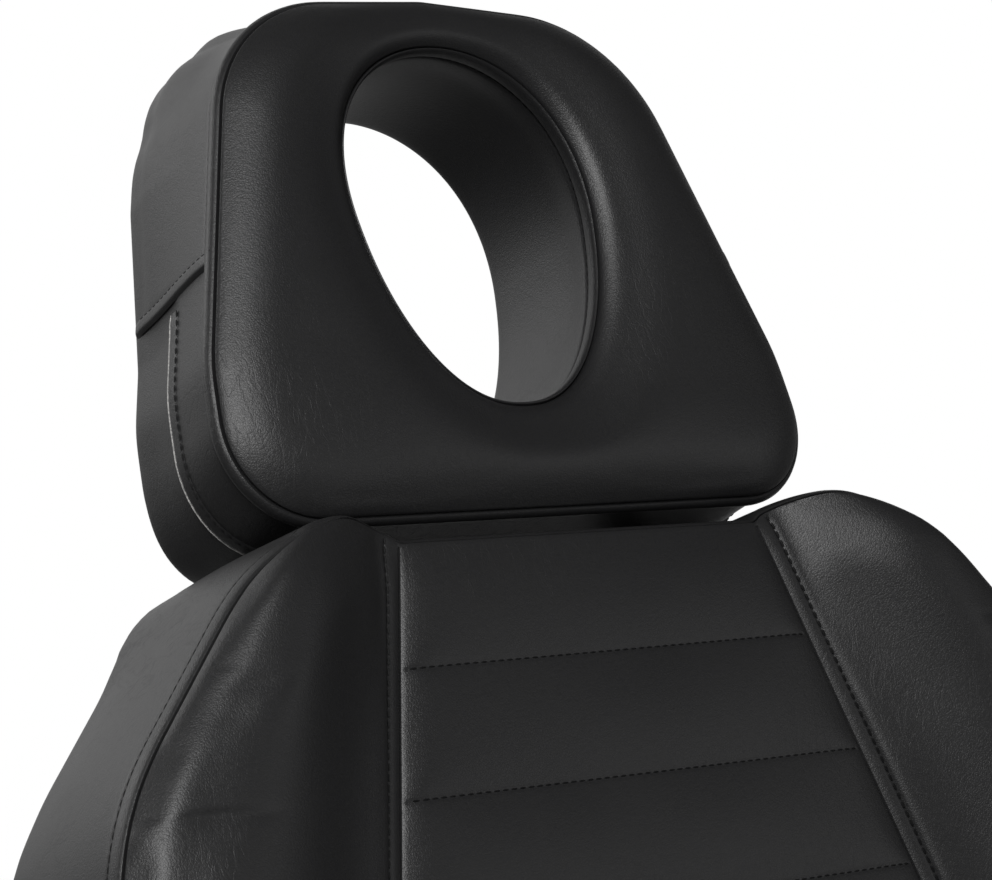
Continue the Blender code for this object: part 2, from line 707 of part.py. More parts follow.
rear_ear = ear_outline(back_hinge, BACK_HINGE_GAP, 1)
front_ear = ear_outline(leg_hinge, LEG_HINGE_GAP, -1)
rear_eye = ring_points(back_hinge.yz, HINGE_PIN_RADIUS + PIN_PLAY)
front_eye = ring_points(leg_hinge.yz, HINGE_PIN_RADIUS + PIN_PLAY)
rail_ys = (seat_front + RAIL_END, seat_rear - RAIL_END)
ear_inner = RAIL_INNER - EAR
ear_outer = rail_outer + EAR
for side, sign in (("left", 1), ("right", -1)):
    rail_xs = sided(sign, RAIL_INNER, rail_outer)
    rail = box("seat_rail_" + side, rail_xs, rail_ys, (rail_bottom, rail_top), steel)
    inside = sided(sign, ear_inner, RAIL_INNER + EAR_BITE)
    outside = sided(sign, rail_outer - EAR_BITE, ear_outer)
    ears = [plate("rear_ear_" + side, rear_ear, *inside, SIDE_VIEW, steel, holes=[rear_eye])]
    ears += [plate("front_ear_in_" + side, front_ear, *inside, SIDE_VIEW, steel, holes=[front_eye])]
    ears += [plate("front_ear_out_" + side, front_ear, *outside, SIDE_VIEW, steel, holes=[front_eye])]
    for ear in ears:
        join(rail, ear, "MANIFOLD")

# Seat pad
seat_corners = [(SEAT_HALF_WIDTH, seat_front, SEAT_CORNER), (SEAT_HALF_WIDTH, seat_rear, SEAT_CORNER)]
seat_width = width_along(open_side(seat_corners))
seat_pivot = pivot("seat_pivot", (0, 0, hinge_height))
seat_lines = channel_lines(seat_front, seat_rear)
seat_rows = pad_rows(seat_front, seat_rear, seat_lines, (SEAT_CORNER, SEAT_CORNER))
pad_board("seat_board", seat_rows, seat_width, 0, seat_pivot)
channelled_pad(
    "seat_cushion", seat_rows, seat_width, lambda row: SEAT_PANEL_HALF, BOLSTER_RISE, seat_lines, 0.0, 0,
    board_front + FIT, (seat_front, seat_rear), seat_pivot,
)

# Back: pivot at the hinge, Y up along the pad and Z out of its face
back_pivot = pivot("back_pivot", back_hinge, (BACK_ANGLE, 0, 0))
back_top = BACK_HINGE_GAP + BACK_LENGTH
lug_inner = BACK_TUBE_AT + BACK_TUBE / 2
lug_outer = ear_inner - FIT
tube_middle = frame_level - BACK_TUBE / 2
tube_low = frame_level - BACK_TUBE
tube_start = BACK_HINGE_GAP + BACK_TUBE_START
crank = Vector((math.cos(CRANK_ANGLE), math.sin(CRANK_ANGLE))) * CRANK_RADIUS
lug_front = frame_level - FIT
lug_back = tube_low + FIT

lug_corners = [(-HINGE_EYE, HINGE_EYE, HINGE_EYE * EYE_ROUND), (HINGE_EYE, HINGE_EYE, HINGE_EYE * EYE_ROUND)]
lug_end = tube_start + LUG_TAIL
lug_corners += [(HINGE_EYE, lug_front, 0), (lug_end, lug_front, 0), (lug_end, lug_back, 0)]
plain_lug = rounded((lug_corners + [(-HINGE_EYE, lug_back, HINGE_EYE * EYE_ROUND)])[::-1])
crank_corners = [(crank.x - CRANK_EYE, crank.y - CRANK_EYE, CRANK_EYE * EYE_ROUND)]
crank_corners += [(crank.x - CRANK_EYE, crank.y + CRANK_EYE, CRANK_EYE * EYE_ROUND)]
crank_corners += [(-CRANK_NECK, crank.y + CRANK_EYE, 0), (-HINGE_EYE, -HINGE_EYE, 0)]
crank_lug = rounded((lug_corners + crank_corners)[::-1])
lug_eye = ring_points((0, 0), HINGE_PIN_RADIUS + PIN_PLAY)
tube_end = back_top - BACK_TUBE_SHORT
for side, sign, outline in (("left", 1, crank_lug), ("right", -1, plain_lug)):
    tube = square_tube(
        "back_tube_" + side, (sign * BACK_TUBE_AT, tube_middle), BACK_TUBE / 2, (tube_start, tube_end),
        BACK_BORE, BACK_TUBE_WALL, steel, back_pivot,
    )
    lug_x = sided(sign, lug_inner - EAR_BITE, lug_outer)
    lug = plate("back_lug_" + side, outline, *lug_x, SIDE_VIEW, steel, back_pivot, holes=[lug_eye])
    join(tube, lug)
    pin_x = sided(sign, lug_inner - EAR_BITE - FIT, RAIL_INNER + EAR_BITE + FIT)
    headed_pin("back_hinge_pin_" + side, HINGE_PIN_RADIUS, *pin_x, bright, location=back_hinge)

cross_x = BACK_TUBE_AT - BACK_TUBE / 2 - FIT
cross_n = (frame_level - BACK_CROSS_DEPTH, frame_level)
for name, middle in (("lower", tube_start + LOWER_CROSS_UP), ("upper", back_top - UPPER_CROSS_DOWN)):
    cross_u = (middle - CROSS_TUBE / 2, middle + CROSS_TUBE / 2)
    box("back_cross_" + name, (-cross_x, cross_x), cross_u, cross_n, steel, back_pivot, bevel=TUBE_ROUND)


def back_panel_half(row):
    """Half width of the centre panel: it spreads from the top seam, then runs straight down."""
    return PANEL_TOP_HALF + PANEL_SPREAD * min(max(back_top - row, 0), PANEL_SPREAD_LENGTH)


back_corners = [(BACK_WAIST_HALF, BACK_HINGE_GAP, BACK_BOTTOM_CORNER)]
back_corners += [(BACK_HALF_WIDTH, back_top + BOLSTER_PEAK - SHOULDER_DROP, ARM_ROUND)]
back_corners += [(SHOULDER_HALF, back_top + BOLSTER_PEAK, SHOULDER_ROUND)]
back_side = [point for point in open_side(back_corners) if point.y <= back_top]
back_width = width_along(back_side)
back_lines = [BACK_HINGE_GAP + back_top - line for line in channel_lines(BACK_HINGE_GAP, back_top)]
back_rows = pad_rows(BACK_HINGE_GAP, back_top, back_lines, (BACK_BOTTOM_CORNER, ARM_ROUND))
pad_board("back_board", back_rows, back_width, 0, back_pivot)
channelled_pad(
    "back_cushion", back_rows, back_width, back_panel_half, BOLSTER_RISE, back_lines, BOLSTER_PEAK, 0,
    board_front + FIT, (BACK_HINGE_GAP,), back_pivot,
)

# Gas spring: the crank's pin works in the slotted eye of the rod
crank_world = back_hinge + Matrix.Rotation(BACK_ANGLE, 3, "X") @ Vector((0, crank.x, crank.y))
eye_high = lug_inner - EAR_BITE - EYE_SIDE_PLAY
eye_low = eye_high - EYE_THICK
gas_x = (eye_low + eye_high) / 2
headed_pin(
    "crank_pin", CRANK_PIN_RADIUS, eye_low - EYE_SIDE_PLAY - gas_x, lug_inner - EAR_BITE - FIT - gas_x, bright,
    back_pivot, location=(gas_x, crank.x, crank.y), both=False,
)

gas_pivot = pivot("gas_rod_pivot", (gas_x, crank_world.y, crank_world.z))
slot_half = CRANK_PIN_RADIUS + SLOT_PLAY
slot_low = -SLOT_BELOW - CRANK_PIN_RADIUS
slot_high = SLOT_ABOVE + CRANK_PIN_RADIUS
slot_corners = [(-slot_half, slot_low), (slot_half, slot_low), (slot_half, slot_high), (-slot_half, slot_high)]
eye_wide = slot_half + EYE_WALL
eye_corners = [(-eye_wide, slot_low - EYE_WALL), (eye_wide, slot_low - EYE_WALL)]
eye_corners += [(eye_wide, slot_high + EYE_WALL), (-eye_wide, slot_high + EYE_WALL)]
eye_outline = rounded([(*corner, eye_wide * SOFT_ROUND) for corner in eye_corners])
slot_outline = rounded([(*corner, slot_half * SOFT_ROUND) for corner in slot_corners])
eye_x = (-EYE_THICK / 2, EYE_THICK / 2)
rod_eye = plate("gas_rod", eye_outline, *eye_x, SIDE_VIEW, chrome, gas_pivot, holes=[slot_outline])
nose = -GAS_NOSE_GAP
rod_tail = nose - GAS_ROD_GRIP - GAS_TRAVEL
shank = rod("gas_rod_shank", GAS_ROD_RADIUS, rod_tail, -slot_half - EYE_WALL / 2, chrome, gas_pivot, axis="Y")
join(rod_eye, shank)

gas_bore = GAS_ROD_RADIUS + GAS_ROD_PLAY
gas_floor = rod_tail - GAS_TRAVEL - BORE_END_GAP
anchor_y = FRONT_CROSS_AT
gas_y = crank_world.y
tail_end = anchor_y + GAS_TAIL - gas_y
gas_profile = [(0, gas_floor), (gas_bore, gas_floor), (gas_bore, nose), (GAS_RADIUS, nose)]
gas_profile += [(GAS_RADIUS, tail_end), (0, tail_end)]
gas = turned("gas_cylinder", gas_profile, steel, location=(gas_x, gas_y, crank_world.z), axis="Y")
tail_half = GAS_RADIUS / 2
tail_corners = [(anchor_y - GAS_RADIUS, crank_world.z - GAS_RADIUS, GAS_RADIUS * EYE_ROUND)]
tail_corners += [(anchor_y + GAS_TAIL + EYE_WALL, crank_world.z - GAS_RADIUS * GAS_TAIL_TAPER, 0)]
tail_corners += [(anchor_y + GAS_TAIL + EYE_WALL, crank_world.z + GAS_RADIUS * GAS_TAIL_TAPER, 0)]
tail_corners += [(anchor_y - GAS_RADIUS, crank_world.z + GAS_RADIUS, GAS_RADIUS * EYE_ROUND)]
anchor_hole = ring_points((anchor_y, crank_world.z), GAS_ANCHOR_RADIUS + PIN_PLAY)
tail_x = (gas_x - tail_half, gas_x + tail_half)
gas_tail = plate("gas_tail", rounded(tail_corners), *tail_x, SIDE_VIEW, steel, holes=[anchor_hole])
join(gas, gas_tail)
anchor_x = gas_x + tail_half + FIT
anchor_ys = (anchor_y - CROSS_TUBE / 2, anchor_y + CROSS_TUBE / 2)
anchor_zs = (cross_top + FIT, crank_world.z + GAS_RADIUS)
anchor = box("gas_anchor", (anchor_x, anchor_x + ANCHOR_PLATE), anchor_ys, anchor_zs, steel)
anchor_pin = rod(
    "anchor_pin", GAS_ANCHOR_RADIUS, gas_x - tail_half - EYE_SIDE_PLAY, anchor_x + ANCHOR_PLATE / 2, steel,
    location=(0, anchor_y, crank_world.z), axis="X",
)
join(anchor, anchor_pin)

# Recline release lever on the left rail
lever_z = (rail_bottom + rail_top) / 2
lever_pivot = pivot("lever_pivot", (rail_outer + FIT, LEVER_AT, lever_z))
lever_run = LEVER_OUT - rail_outer - FIT
lever_curve = bpy.data.curves.new("recline_lever", "CURVE")
lever_curve.dimensions = "3D"
lever_curve.bevel_depth = LEVER_ROD_RADIUS
lever_curve.bevel_resolution = 3
lever_curve.use_fill_caps = True
lever_path = rounded([(0, 0, 0), (lever_run, 0, LEVER_BEND), (lever_run, LEVER_ARM, 0)])
lever_spline = lever_curve.splines.new("POLY")
lever_spline.points.add(len(lever_path) - 1)
for point, (x, y) in zip(lever_spline.points, lever_path):
    point.co = (x, y, 0, 1)
place(bpy.data.objects.new("recline_lever", lever_curve), chrome, lever_pivot)
grip_start = LEVER_ARM + FIT
grip_end = grip_start + LEVER_GRIP
grip_profile = [(0, grip_end), (LEVER_GRIP_RADIUS * SOFT_ROUND, grip_end)]
grip_profile += [(LEVER_GRIP_RADIUS, grip_end - LEVER_GRIP_RADIUS / 2)]
grip_profile += [(LEVER_GRIP_RADIUS, grip_start), (0, grip_start)]
turned("recline_grip", grip_profile, rubber, lever_pivot, (lever_run, 0, 0), "Y")

# Headrest: Y up along the pad from its lower seam, Z out of the plane of that seam
head_level = HINGE_DROP - HEAD_SET_BACK
head_pivot = pivot("head_pivot", (0, back_top + HEAD_GAP, head_level), (-HEAD_TILT, 0, 0), back_pivot)
head_corners = [(0, 0, 0), (HEAD_BASE_HALF, 0, HEAD_BASE_ROUND), (HEAD_WIDE_HALF, HEAD_WIDE_AT, HEAD_TOP_ROUND)]
head_corners += [(HEAD_TOP_HALF, HEAD_LENGTH - BOLSTER_PEAK, HEAD_TOP_ROUND), (0, HEAD_LENGTH, 0)]


def head_outline():
    """The headrest's outer seam, anticlockwise from the middle of its lower edge."""
    right = rounded(head_corners)
    return right + [Vector((-x, y)) for x, y in reversed(right[1:-1])]


def spread(points, count):
    """The closed outline again, as points evenly spaced along it from its first point."""
    loop = np.array([tuple(point) for point in (*points, points[0])])
    run = np.concatenate([[0], np.cumsum(np.linalg.norm(np.diff(loop, axis=0), axis=1))])
    marks = np.linspace(0, run[-1], count, endpoint=False)
    return list(zip(np.interp(marks, run, loop[:, 0]), np.interp(marks, run, loop[:, 1])))


def hole_outline(count, grow=0.0):
    """The egg-shaped face hole, anticlockwise from its lowest point."""
    points = []
    for step in range(count):
        turn = 2 * math.pi * step / count - math.pi / 2
        height = math.copysign(abs(math.sin(turn)) ** (2 / HOLE_POWER), math.sin(turn))
        width = math.copysign(abs(math.cos(turn)) ** (2 / HOLE_POWER), math.cos(turn))
        across = (HOLE_HALF_WIDTH + grow) * width * (1 + HOLE_EGG * height)
        points.append((across, HOLE_CENTRE + (HOLE_HALF_HEIGHT + grow) * height))
    return points


head_back = -HEAD_THICK
head_board_front = head_back + BOARD
bm = bmesh.new()
loops = []
for outline in (spread(head_outline(), HEAD_FACETS), hole_outline(HEAD_FACETS)):
    verts = [bm.verts.new((x, y, 0)) for x, y in outline]
    loops += [bm.edges.new((verts[index - 1], verts[index])) for index in range(HEAD_FACETS)]
bmesh.ops.bridge_loops(bm, edges=loops)
spokes = [edge for edge in bm.edges if edge not in set(loops)]
bmesh.ops.subdivide_edges(bm, edges=spokes, cuts=HEAD_RINGS)
for vert in bm.verts:
    if not vert.is_boundary:
        nearest = min((vert.co - edge.verts[0].co).length for edge in loops if edge.is_valid)
        vert.co.z = HEAD_CROWN * roll(nearest)
close_pad("headrest_cushion", bm, head_board_front + FIT, head_pivot)

head_board = inset(head_outline(), HEAD_WIDE_HALF, HEAD_LENGTH, HEAD_LENGTH / 2)
plate(
    "headrest_board", head_board, head_back, head_board_front, PLAN_VIEW, plywood, head_pivot,
    holes=[hole_outline(HEAD_FACETS, BOARD_INSET / 2)],
)

# Headrest posts in the back tubes, with their clamp knobs
post_half = BACK_TUBE / 2 - BACK_TUBE_WALL - POST_PLAY
post_low = tube_end - POST_GRIP
post_front = tube_middle + post_half
post_back = tube_middle - post_half
head_foot = back_top + HEAD_GAP


def strap_level(run):
    """Front of the post's strap at this distance up the back: just behind the tilted headrest board."""
    lean = (run - head_foot + HEAD_THICK * HEAD_TILT) * math.tan(HEAD_TILT)
    return head_level - HEAD_THICK - lean - 2 * FIT


strap_end = head_foot + POST_STRAP_LENGTH
shoulder = tube_end + KNOB_DOWN
strap_start = head_foot - KNOB_DOWN / 3
post_corners = [(post_low, post_back), (shoulder, post_back)]
post_corners += [(strap_start, strap_level(strap_start) - POST_STRAP)]
post_corners += [(strap_end, strap_level(strap_end) - POST_STRAP), (strap_end, strap_level(strap_end))]
post_corners += [(strap_start, strap_level(strap_start)), (shoulder, post_front), (post_low, post_front)]


def lobed_knob(name, parent):
    """A lobed hand knob on a short screw, which points along +Z from the knob."""
    turns = [2 * math.pi * step / KNOB_STEPS for step in range(KNOB_STEPS)]
    reach = [KNOB_RADIUS + KNOB_LOBE * math.cos(KNOB_LOBES * turn) for turn in turns]
    outline = [(r * math.cos(turn), r * math.sin(turn)) for r, turn in zip(reach, turns)]
    knob = plate(name, outline, -KNOB_SCREW - KNOB_DEPTH, -KNOB_SCREW, PLAN_VIEW, plastic, parent)
    edges = knob.modifiers.new("edges", "BEVEL")
    edges.width = KNOB_LOBE
    edges.limit_method = "ANGLE"
    edges.angle_limit = SHARP_ANGLE
    screw = rod(name + "_screw", KNOB_SCREW_RADIUS, -KNOB_SCREW - KNOB_DEPTH / 2, 0, bright, parent)
    return join(knob, screw)


for side, sign in (("left", 1), ("right", -1)):
    post_x = (sign * BACK_TUBE_AT - post_half, sign * BACK_TUBE_AT + post_half)
    plate("headrest_post_" + side, post_corners, *post_x, SIDE_VIEW, bright, back_pivot)
    knob_at = (sign * BACK_TUBE_AT, tube_end - KNOB_DOWN, tube_low - FIT)
    lobed_knob("headrest_knob_" + side, pivot("headrest_knob_pivot_" + side, knob_at, parent=back_pivot))

# Leg rests: pivot at each hinge, Y down along the pad and Z out of its face
leg_end = LEG_HINGE_GAP + LEG_LENGTH
leg_corners = [(LEG_HALF_WIDTH, LEG_HINGE_GAP, LEG_CORNER), (LEG_HALF_WIDTH, leg_end, LEG_CORNER)]
leg_width = width_along(open_side(leg_corners))
leg_lines = channel_lines(LEG_HINGE_GAP, leg_end)
leg_rows = pad_rows(LEG_HINGE_GAP, leg_end, leg_lines, (LEG_CORNER, LEG_CORNER))
leg_middle = LEG_SPLIT + LEG_HALF_WIDTH
bar_middle = RAIL_INNER + RAIL_WIDTH / 2
bar_half = RAIL_WIDTH / 2 - EAR_BITE - FIT
bar_top = frame_level - LEG_CLEAT
bar_back = bar_top - LEG_BAR_DEPTH
bar_end = leg_end - LEG_BAR_END
bar_corners = [(-HINGE_EYE, HINGE_EYE, HINGE_EYE * EYE_ROUND)]
bar_corners += [(-HINGE_EYE, -LEG_NECK_DROP, HINGE_EYE * SOFT_ROUND)]
bar_corners += [(LEG_HEEL, bar_back, 0), (bar_end, bar_back, 0), (bar_end, bar_top, 0)]
bar_corners += [(LEG_HINGE_GAP + LEG_NECK, bar_top, 0), (HINGE_EYE, -HINGE_EYE - LEG_NECK_DROP, 0)]
bar_corners += [(HINGE_EYE, HINGE_EYE, HINGE_EYE * EYE_ROUND)]
for side, sign in (("left", 1), ("right", -1)):
    leg_pivot = pivot("leg_pivot_" + side, leg_hinge, (-LEG_DROP, 0, math.pi))
    bar_x = (-sign * bar_middle - bar_half, -sign * bar_middle + bar_half)
    frame = plate(
        "leg_frame_" + side, rounded(bar_corners), *bar_x, SIDE_VIEW, steel, leg_pivot, holes=[lug_eye]
    )
    for name, share in LEG_CLEATS:
        middle = LEG_HINGE_GAP + share * LEG_LENGTH
        cleat_x = (-sign * leg_middle - LEG_CLEAT_HALF, -sign * leg_middle + LEG_CLEAT_HALF)
        cleat_u = (middle - LEG_CLEAT_WIDTH / 2, middle + LEG_CLEAT_WIDTH / 2)
        cleat_n = (bar_top - EAR_BITE, frame_level)
        join(frame, box(f"leg_cleat_{name}_{side}", cleat_x, cleat_u, cleat_n, steel, leg_pivot))
    pad_board("leg_board_" + side, leg_rows, leg_width, -sign * leg_middle, leg_pivot)
    channelled_pad(
        "leg_cushion_" + side, leg_rows, leg_width, lambda row: LEG_PANEL_HALF, LEG_RISE, leg_lines, 0.0,
        -sign * leg_middle, board_front + FIT, (LEG_HINGE_GAP,), leg_pivot,
    )
    pin_x = (ear_inner - FIT, ear_outer + FIT + RATCHET)
    start, end = pin_x if sign > 0 else (-pin_x[0], -pin_x[1])
    heads = [(0, start - sign * PIN_HEAD), (PIN_HEAD_RADIUS, start - sign * PIN_HEAD), (PIN_HEAD_RADIUS, start)]
    pin_profile = heads + [(HINGE_PIN_RADIUS, start), (HINGE_PIN_RADIUS, end), (0, end)]
    turned("leg_hinge_pin_" + side, pin_profile[::-sign], bright, location=leg_hinge, axis="X")
    low, high = sided(sign, ear_outer + FIT, ear_outer + FIT + RATCHET)
    eye_bore = HINGE_PIN_RADIUS + PIN_PLAY
    ratchet_profile = [(eye_bore, low), (eye_bore, high), (RATCHET_RADIUS, high), (RATCHET_RADIUS, low)]
    turned("leg_ratchet_" + side, ratchet_profile, plastic, location=leg_hinge, axis="X", ring=True)

# Armrests: socket on the seat rail, sliding post, swinging board and pad
arm_board_low = SEAT_HEIGHT + ARM_PAD_LEVEL - ARM_BOARD
post_top = arm_board_low - FIT
flange_low = post_top - ARM_FLANGE
socket_bottom = rail_bottom - ARM_SOCKET_DROP
socket_top = rail_top + ARM_SOCKET_RISE
socket_bore = ARM_POST_RADIUS + ARM_POST_PLAY
tube_z = (lever_z - ARM_TUBE / 2, lever_z + ARM_TUBE / 2)
post_foot = socket_bottom + ARM_TUBE
socket_floor = post_foot - FIT
arm_corners = [(ARM_PAD_HALF, -ARM_PAD_FRONT, ARM_PAD_CORNER), (ARM_PAD_HALF, ARM_PAD_REAR, ARM_PAD_CORNER)]
arm_width = width_along(open_side(arm_corners))
arm_outline = [(ARM_PAD_HALF, y, radius) for _, y, radius in arm_corners]
arm_outline = rounded(arm_outline + [(-x, y, radius) for x, y, radius in reversed(arm_outline)])
arm_length = ARM_PAD_REAR + ARM_PAD_FRONT
arm_inset = inset(arm_outline, ARM_PAD_HALF, arm_length, ARM_PAD_REAR - arm_length / 2)
for side, sign in (("left", 1), ("right", -1)):
    post_x = sign * ARM_SPREAD
    socket_profile = [(0, socket_floor), (socket_bore, socket_floor), (socket_bore, socket_top)]
    socket_profile += [(ARM_SOCKET_RADIUS, socket_top), (ARM_SOCKET_RADIUS, socket_bottom), (0, socket_bottom)]
    socket = turned("arm_socket_" + side, socket_profile, steel, location=(post_x, ARM_AT, 0))
    arm_x = sided(sign, rail_outer + FIT, ARM_SPREAD - socket_bore - RAM_PLAY)
    arm_y = (ARM_AT - ARM_TUBE / 2, ARM_AT + ARM_TUBE / 2)
    join(socket, box("arm_tube_" + side, arm_x, arm_y, tube_z, steel))

    stud_top = post_top + ARM_STUD
    post_profile = [(0, stud_top), (ARM_STUD_RADIUS, stud_top), (ARM_STUD_RADIUS, post_top)]
    post_profile += [(ARM_FLANGE_RADIUS, post_top), (ARM_FLANGE_RADIUS, flange_low)]
    post_profile += [(ARM_POST_RADIUS, flange_low), (ARM_POST_RADIUS, post_foot), (0, post_foot)]
    turned("arm_post_" + side, post_profile, chrome, location=(post_x, ARM_AT, 0))

    arm_pivot = pivot("arm_pivot_" + side, (post_x, ARM_AT, arm_board_low))
    stud_hole = ring_points((0, 0), ARM_STUD_RADIUS + PIN_PLAY)
    plate("arm_board_" + side, arm_inset, 0, ARM_BOARD, PLAN_VIEW, plywood, arm_pivot, holes=[stud_hole])
    bm = bmesh.new()
    bmesh.ops.create_grid(bm, x_segments=len(ARM_COLUMNS) - 1, y_segments=len(ARM_ROWS) - 1, size=1)
    for vert in bm.verts:
        across = ARM_COLUMNS[round((vert.co.x + 1) / 2 * (len(ARM_COLUMNS) - 1))]
        share = ARM_ROWS[round((vert.co.y + 1) / 2 * (len(ARM_ROWS) - 1))]
        along = -ARM_PAD_FRONT + share * arm_length
        inside = roll(min(along + ARM_PAD_FRONT, ARM_PAD_REAR - along)) * roll((1 - abs(across)) * ARM_PAD_HALF)
        vert.co = (across * arm_width(along), along, ARM_BOARD + ARM_PAD_FOAM + ARM_PAD_CROWN * inside)
    close_pad("arm_pad_" + side, bm, ARM_BOARD + FIT, arm_pivot)

    knob_at = (sign * (ARM_SPREAD + ARM_SOCKET_RADIUS + FIT), ARM_AT, socket_top - ARM_KNOB_DROP)
    knob_turn = (0, -sign * math.pi / 2, 0)
    lobed_knob("arm_knob_" + side, pivot("arm_knob_pivot_" + side, knob_at, knob_turn))
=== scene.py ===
"""The looks of a tattoo chair: sewn black pads on plywood, a black steel frame and a chromed lift."""

import math

import bmesh
import bpy
import numpy as np
from mathutils import Matrix, Vector


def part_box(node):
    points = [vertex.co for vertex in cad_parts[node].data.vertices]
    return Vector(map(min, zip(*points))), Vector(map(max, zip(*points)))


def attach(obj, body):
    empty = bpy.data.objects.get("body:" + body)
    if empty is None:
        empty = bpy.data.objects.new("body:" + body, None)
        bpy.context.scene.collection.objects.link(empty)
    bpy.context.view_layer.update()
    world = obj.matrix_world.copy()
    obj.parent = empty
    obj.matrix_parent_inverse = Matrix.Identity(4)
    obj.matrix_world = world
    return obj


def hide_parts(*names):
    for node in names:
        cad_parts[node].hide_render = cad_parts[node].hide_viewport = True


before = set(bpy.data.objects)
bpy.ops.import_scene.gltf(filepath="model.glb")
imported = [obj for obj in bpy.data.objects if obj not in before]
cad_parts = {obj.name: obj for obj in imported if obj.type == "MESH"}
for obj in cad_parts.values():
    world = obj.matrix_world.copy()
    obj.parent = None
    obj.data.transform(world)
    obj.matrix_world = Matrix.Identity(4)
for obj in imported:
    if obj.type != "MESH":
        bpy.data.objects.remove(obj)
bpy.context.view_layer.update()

# Studio: a pale floor under a white backdrop, with the camera where the photograph was taken. A large softbox
# stands behind the chair on the sitter's right, one hangs in front of it on the same side, and a weak one
# fills the shadows.
scene = bpy.context.scene
scene.view_settings.view_transform = "Standard"

lens = bpy.data.cameras.new("photograph_view")
lens.lens = 114.4
lens.sensor_width = 36.0
camera = bpy.data.objects.new("photograph_view", lens)
camera.location = (-0.91739, -0.69764, 1.28655)
camera.rotation_euler = (math.radians(87.236), 0.0, math.radians(-37.10))
scene.collection.objects.link(camera)
scene.camera = camera


class Shade:
    """A socket in a node tree. Sums on it add Math nodes, and node() adds any other node."""

    def __init__(self, tree, socket=None):
        self.tree = tree
        self.socket = socket

    def node(self, kind, settings=None, inputs=None, output=0):
        made = self.tree.nodes.new(kind)
        for name, setting in (settings or {}).items():
            if name == "stops":
                ramp = made.color_ramp.elements
                while len(ramp) < len(setting):
                    ramp.new(1.0)
                for stop, (place, colour) in zip(ramp, setting):
                    stop.position = place
                    stop.color = colour
            else:
                setattr(made, name, setting)
        for name, given in (inputs or {}).items():
            if isinstance(given, Shade):
                self.tree.links.new(given.socket, made.inputs[name])
            else:
                made.inputs[name].default_value = given
        return Shade(self.tree, made.outputs[output])

    def other(self, output):
        return Shade(self.tree, self.socket.node.outputs[output])

    def sum(self, operation, first, second):
        return self.node("ShaderNodeMath", {"operation": operation}, {0: first, 1: second})

    def __add__(self, more):
        return self.sum("ADD", self, more)

    def __sub__(self, less):
        return self.sum("SUBTRACT", self, less)

    def __rsub__(self, whole):
        return self.sum("SUBTRACT", whole, self)

    def __mul__(self, times):
        return self.sum("MULTIPLY", self, times)

    __radd__ = __add__
    __rmul__ = __mul__

    def between(self, low, high, start=0.0, end=1.0):
        """The value eased from start to end as it goes from low to high."""
        limits = {"Value": self, "From Min": low, "From Max": high, "To Min": start, "To Max": end}
        return self.node("ShaderNodeMapRange", {"interpolation_type": "SMOOTHSTEP"}, limits)

    def dot(self, way):
        """How far a vector reaches along a way."""
        return self.node("ShaderNodeVectorMath", {"operation": "DOT_PRODUCT"}, {0: self, 1: way}, "Value")

    def stretched(self, scale):
        """A place scaled apart along each axis."""
        return self.node("ShaderNodeMapping", {}, {"Vector": self, "Scale": scale})

    def noise(self, scale, detail, **more):
        """Noise at a place."""
        return self.node("ShaderNodeTexNoise", {}, {"Vector": self, "Scale": scale, "Detail": detail, **more})

    def feed(self, node, name):
        self.tree.links.new(self.socket, node.inputs[name])

    def dye(self, shader, *stops):
        """Colours a shader by a ramp of places, each with its colour."""
        ramp = {"stops": [(place, (*colour, 1)) for place, colour in stops]}
        self.node("ShaderNodeValToRGB", ramp, {"Fac": self}).feed(shader, "Base Color")

    def emboss(self, shader, strength, distance):
        """Raises a shader's surface by this height."""
        raised = {"Height": self, "Strength": strength, "Distance": distance}
        self.node("ShaderNodeBump", {}, raised).feed(shader, "Normal")


world = bpy.data.worlds.new("studio")
world.use_nodes = True
scene.world = world
air = Shade(world.node_tree)
ray = air.node("ShaderNodeLightPath")
towards = air.node("ShaderNodeTexCoord", output="Generated")
ahead = towards.dot((0.1, 0.995, 0.0))
upward = air.node("ShaderNodeSeparateXYZ", {}, {"Vector": towards}, "Z")
backdrop = ahead.between(0.45, 0.92) * upward.between(-0.45, 0.28, 0.03, 0.70) + 0.05
below = towards.dot((0.6, 0.6, -0.53))
backdrop = backdrop + below.between(0.6, 1.0) * 0.30
glossy = ray.other("Is Glossy Ray")
seen = air.sum("MAXIMUM", ray, ray.other("Is Transmission Ray"))
level = air.sum("MAXIMUM", seen, glossy * backdrop + ray.other("Is Diffuse Ray") * 0.75)
level.feed(world.node_tree.nodes["Background"], "Strength")
world.node_tree.nodes["Background"].inputs["Color"].default_value = (1, 1, 1, 1)


def softbox(name, place, aim, width, height, power):
    lamp = bpy.data.lights.new(name, "AREA")
    lamp.shape = "RECTANGLE"
    lamp.size, lamp.size_y = width, height
    lamp.energy = power
    stand = bpy.data.objects.new(name, lamp)
    stand.location = place
    stand.rotation_euler = (Vector(aim) - Vector(place)).to_track_quat("-Z", "Y").to_euler()
    stand.visible_camera = False
    scene.collection.objects.link(stand)


softbox("softbox_behind", (-1.5, 2.1, 2.4), (0.0, 0.4, 1.2), 1.6, 1.2, 18)
softbox("softbox_above", (-1.35, -1.05, 2.55), (0.0, 0.4, 1.2), 1.1, 1.1, 62)
softbox("softbox_fill", (2.6, -2.4, 1.6), (0.0, 0.0, 0.7), 2.0, 2.0, 13)


def new_finish(name):
    """A material, its shader, and the place on the piece, which the material's other nodes start from."""
    finish = bpy.data.materials.new(name)
    finish.use_nodes = True
    shader = finish.node_tree.nodes["Principled BSDF"]
    return finish, shader, Shade(finish.node_tree).node("ShaderNodeTexCoord", output="Object")


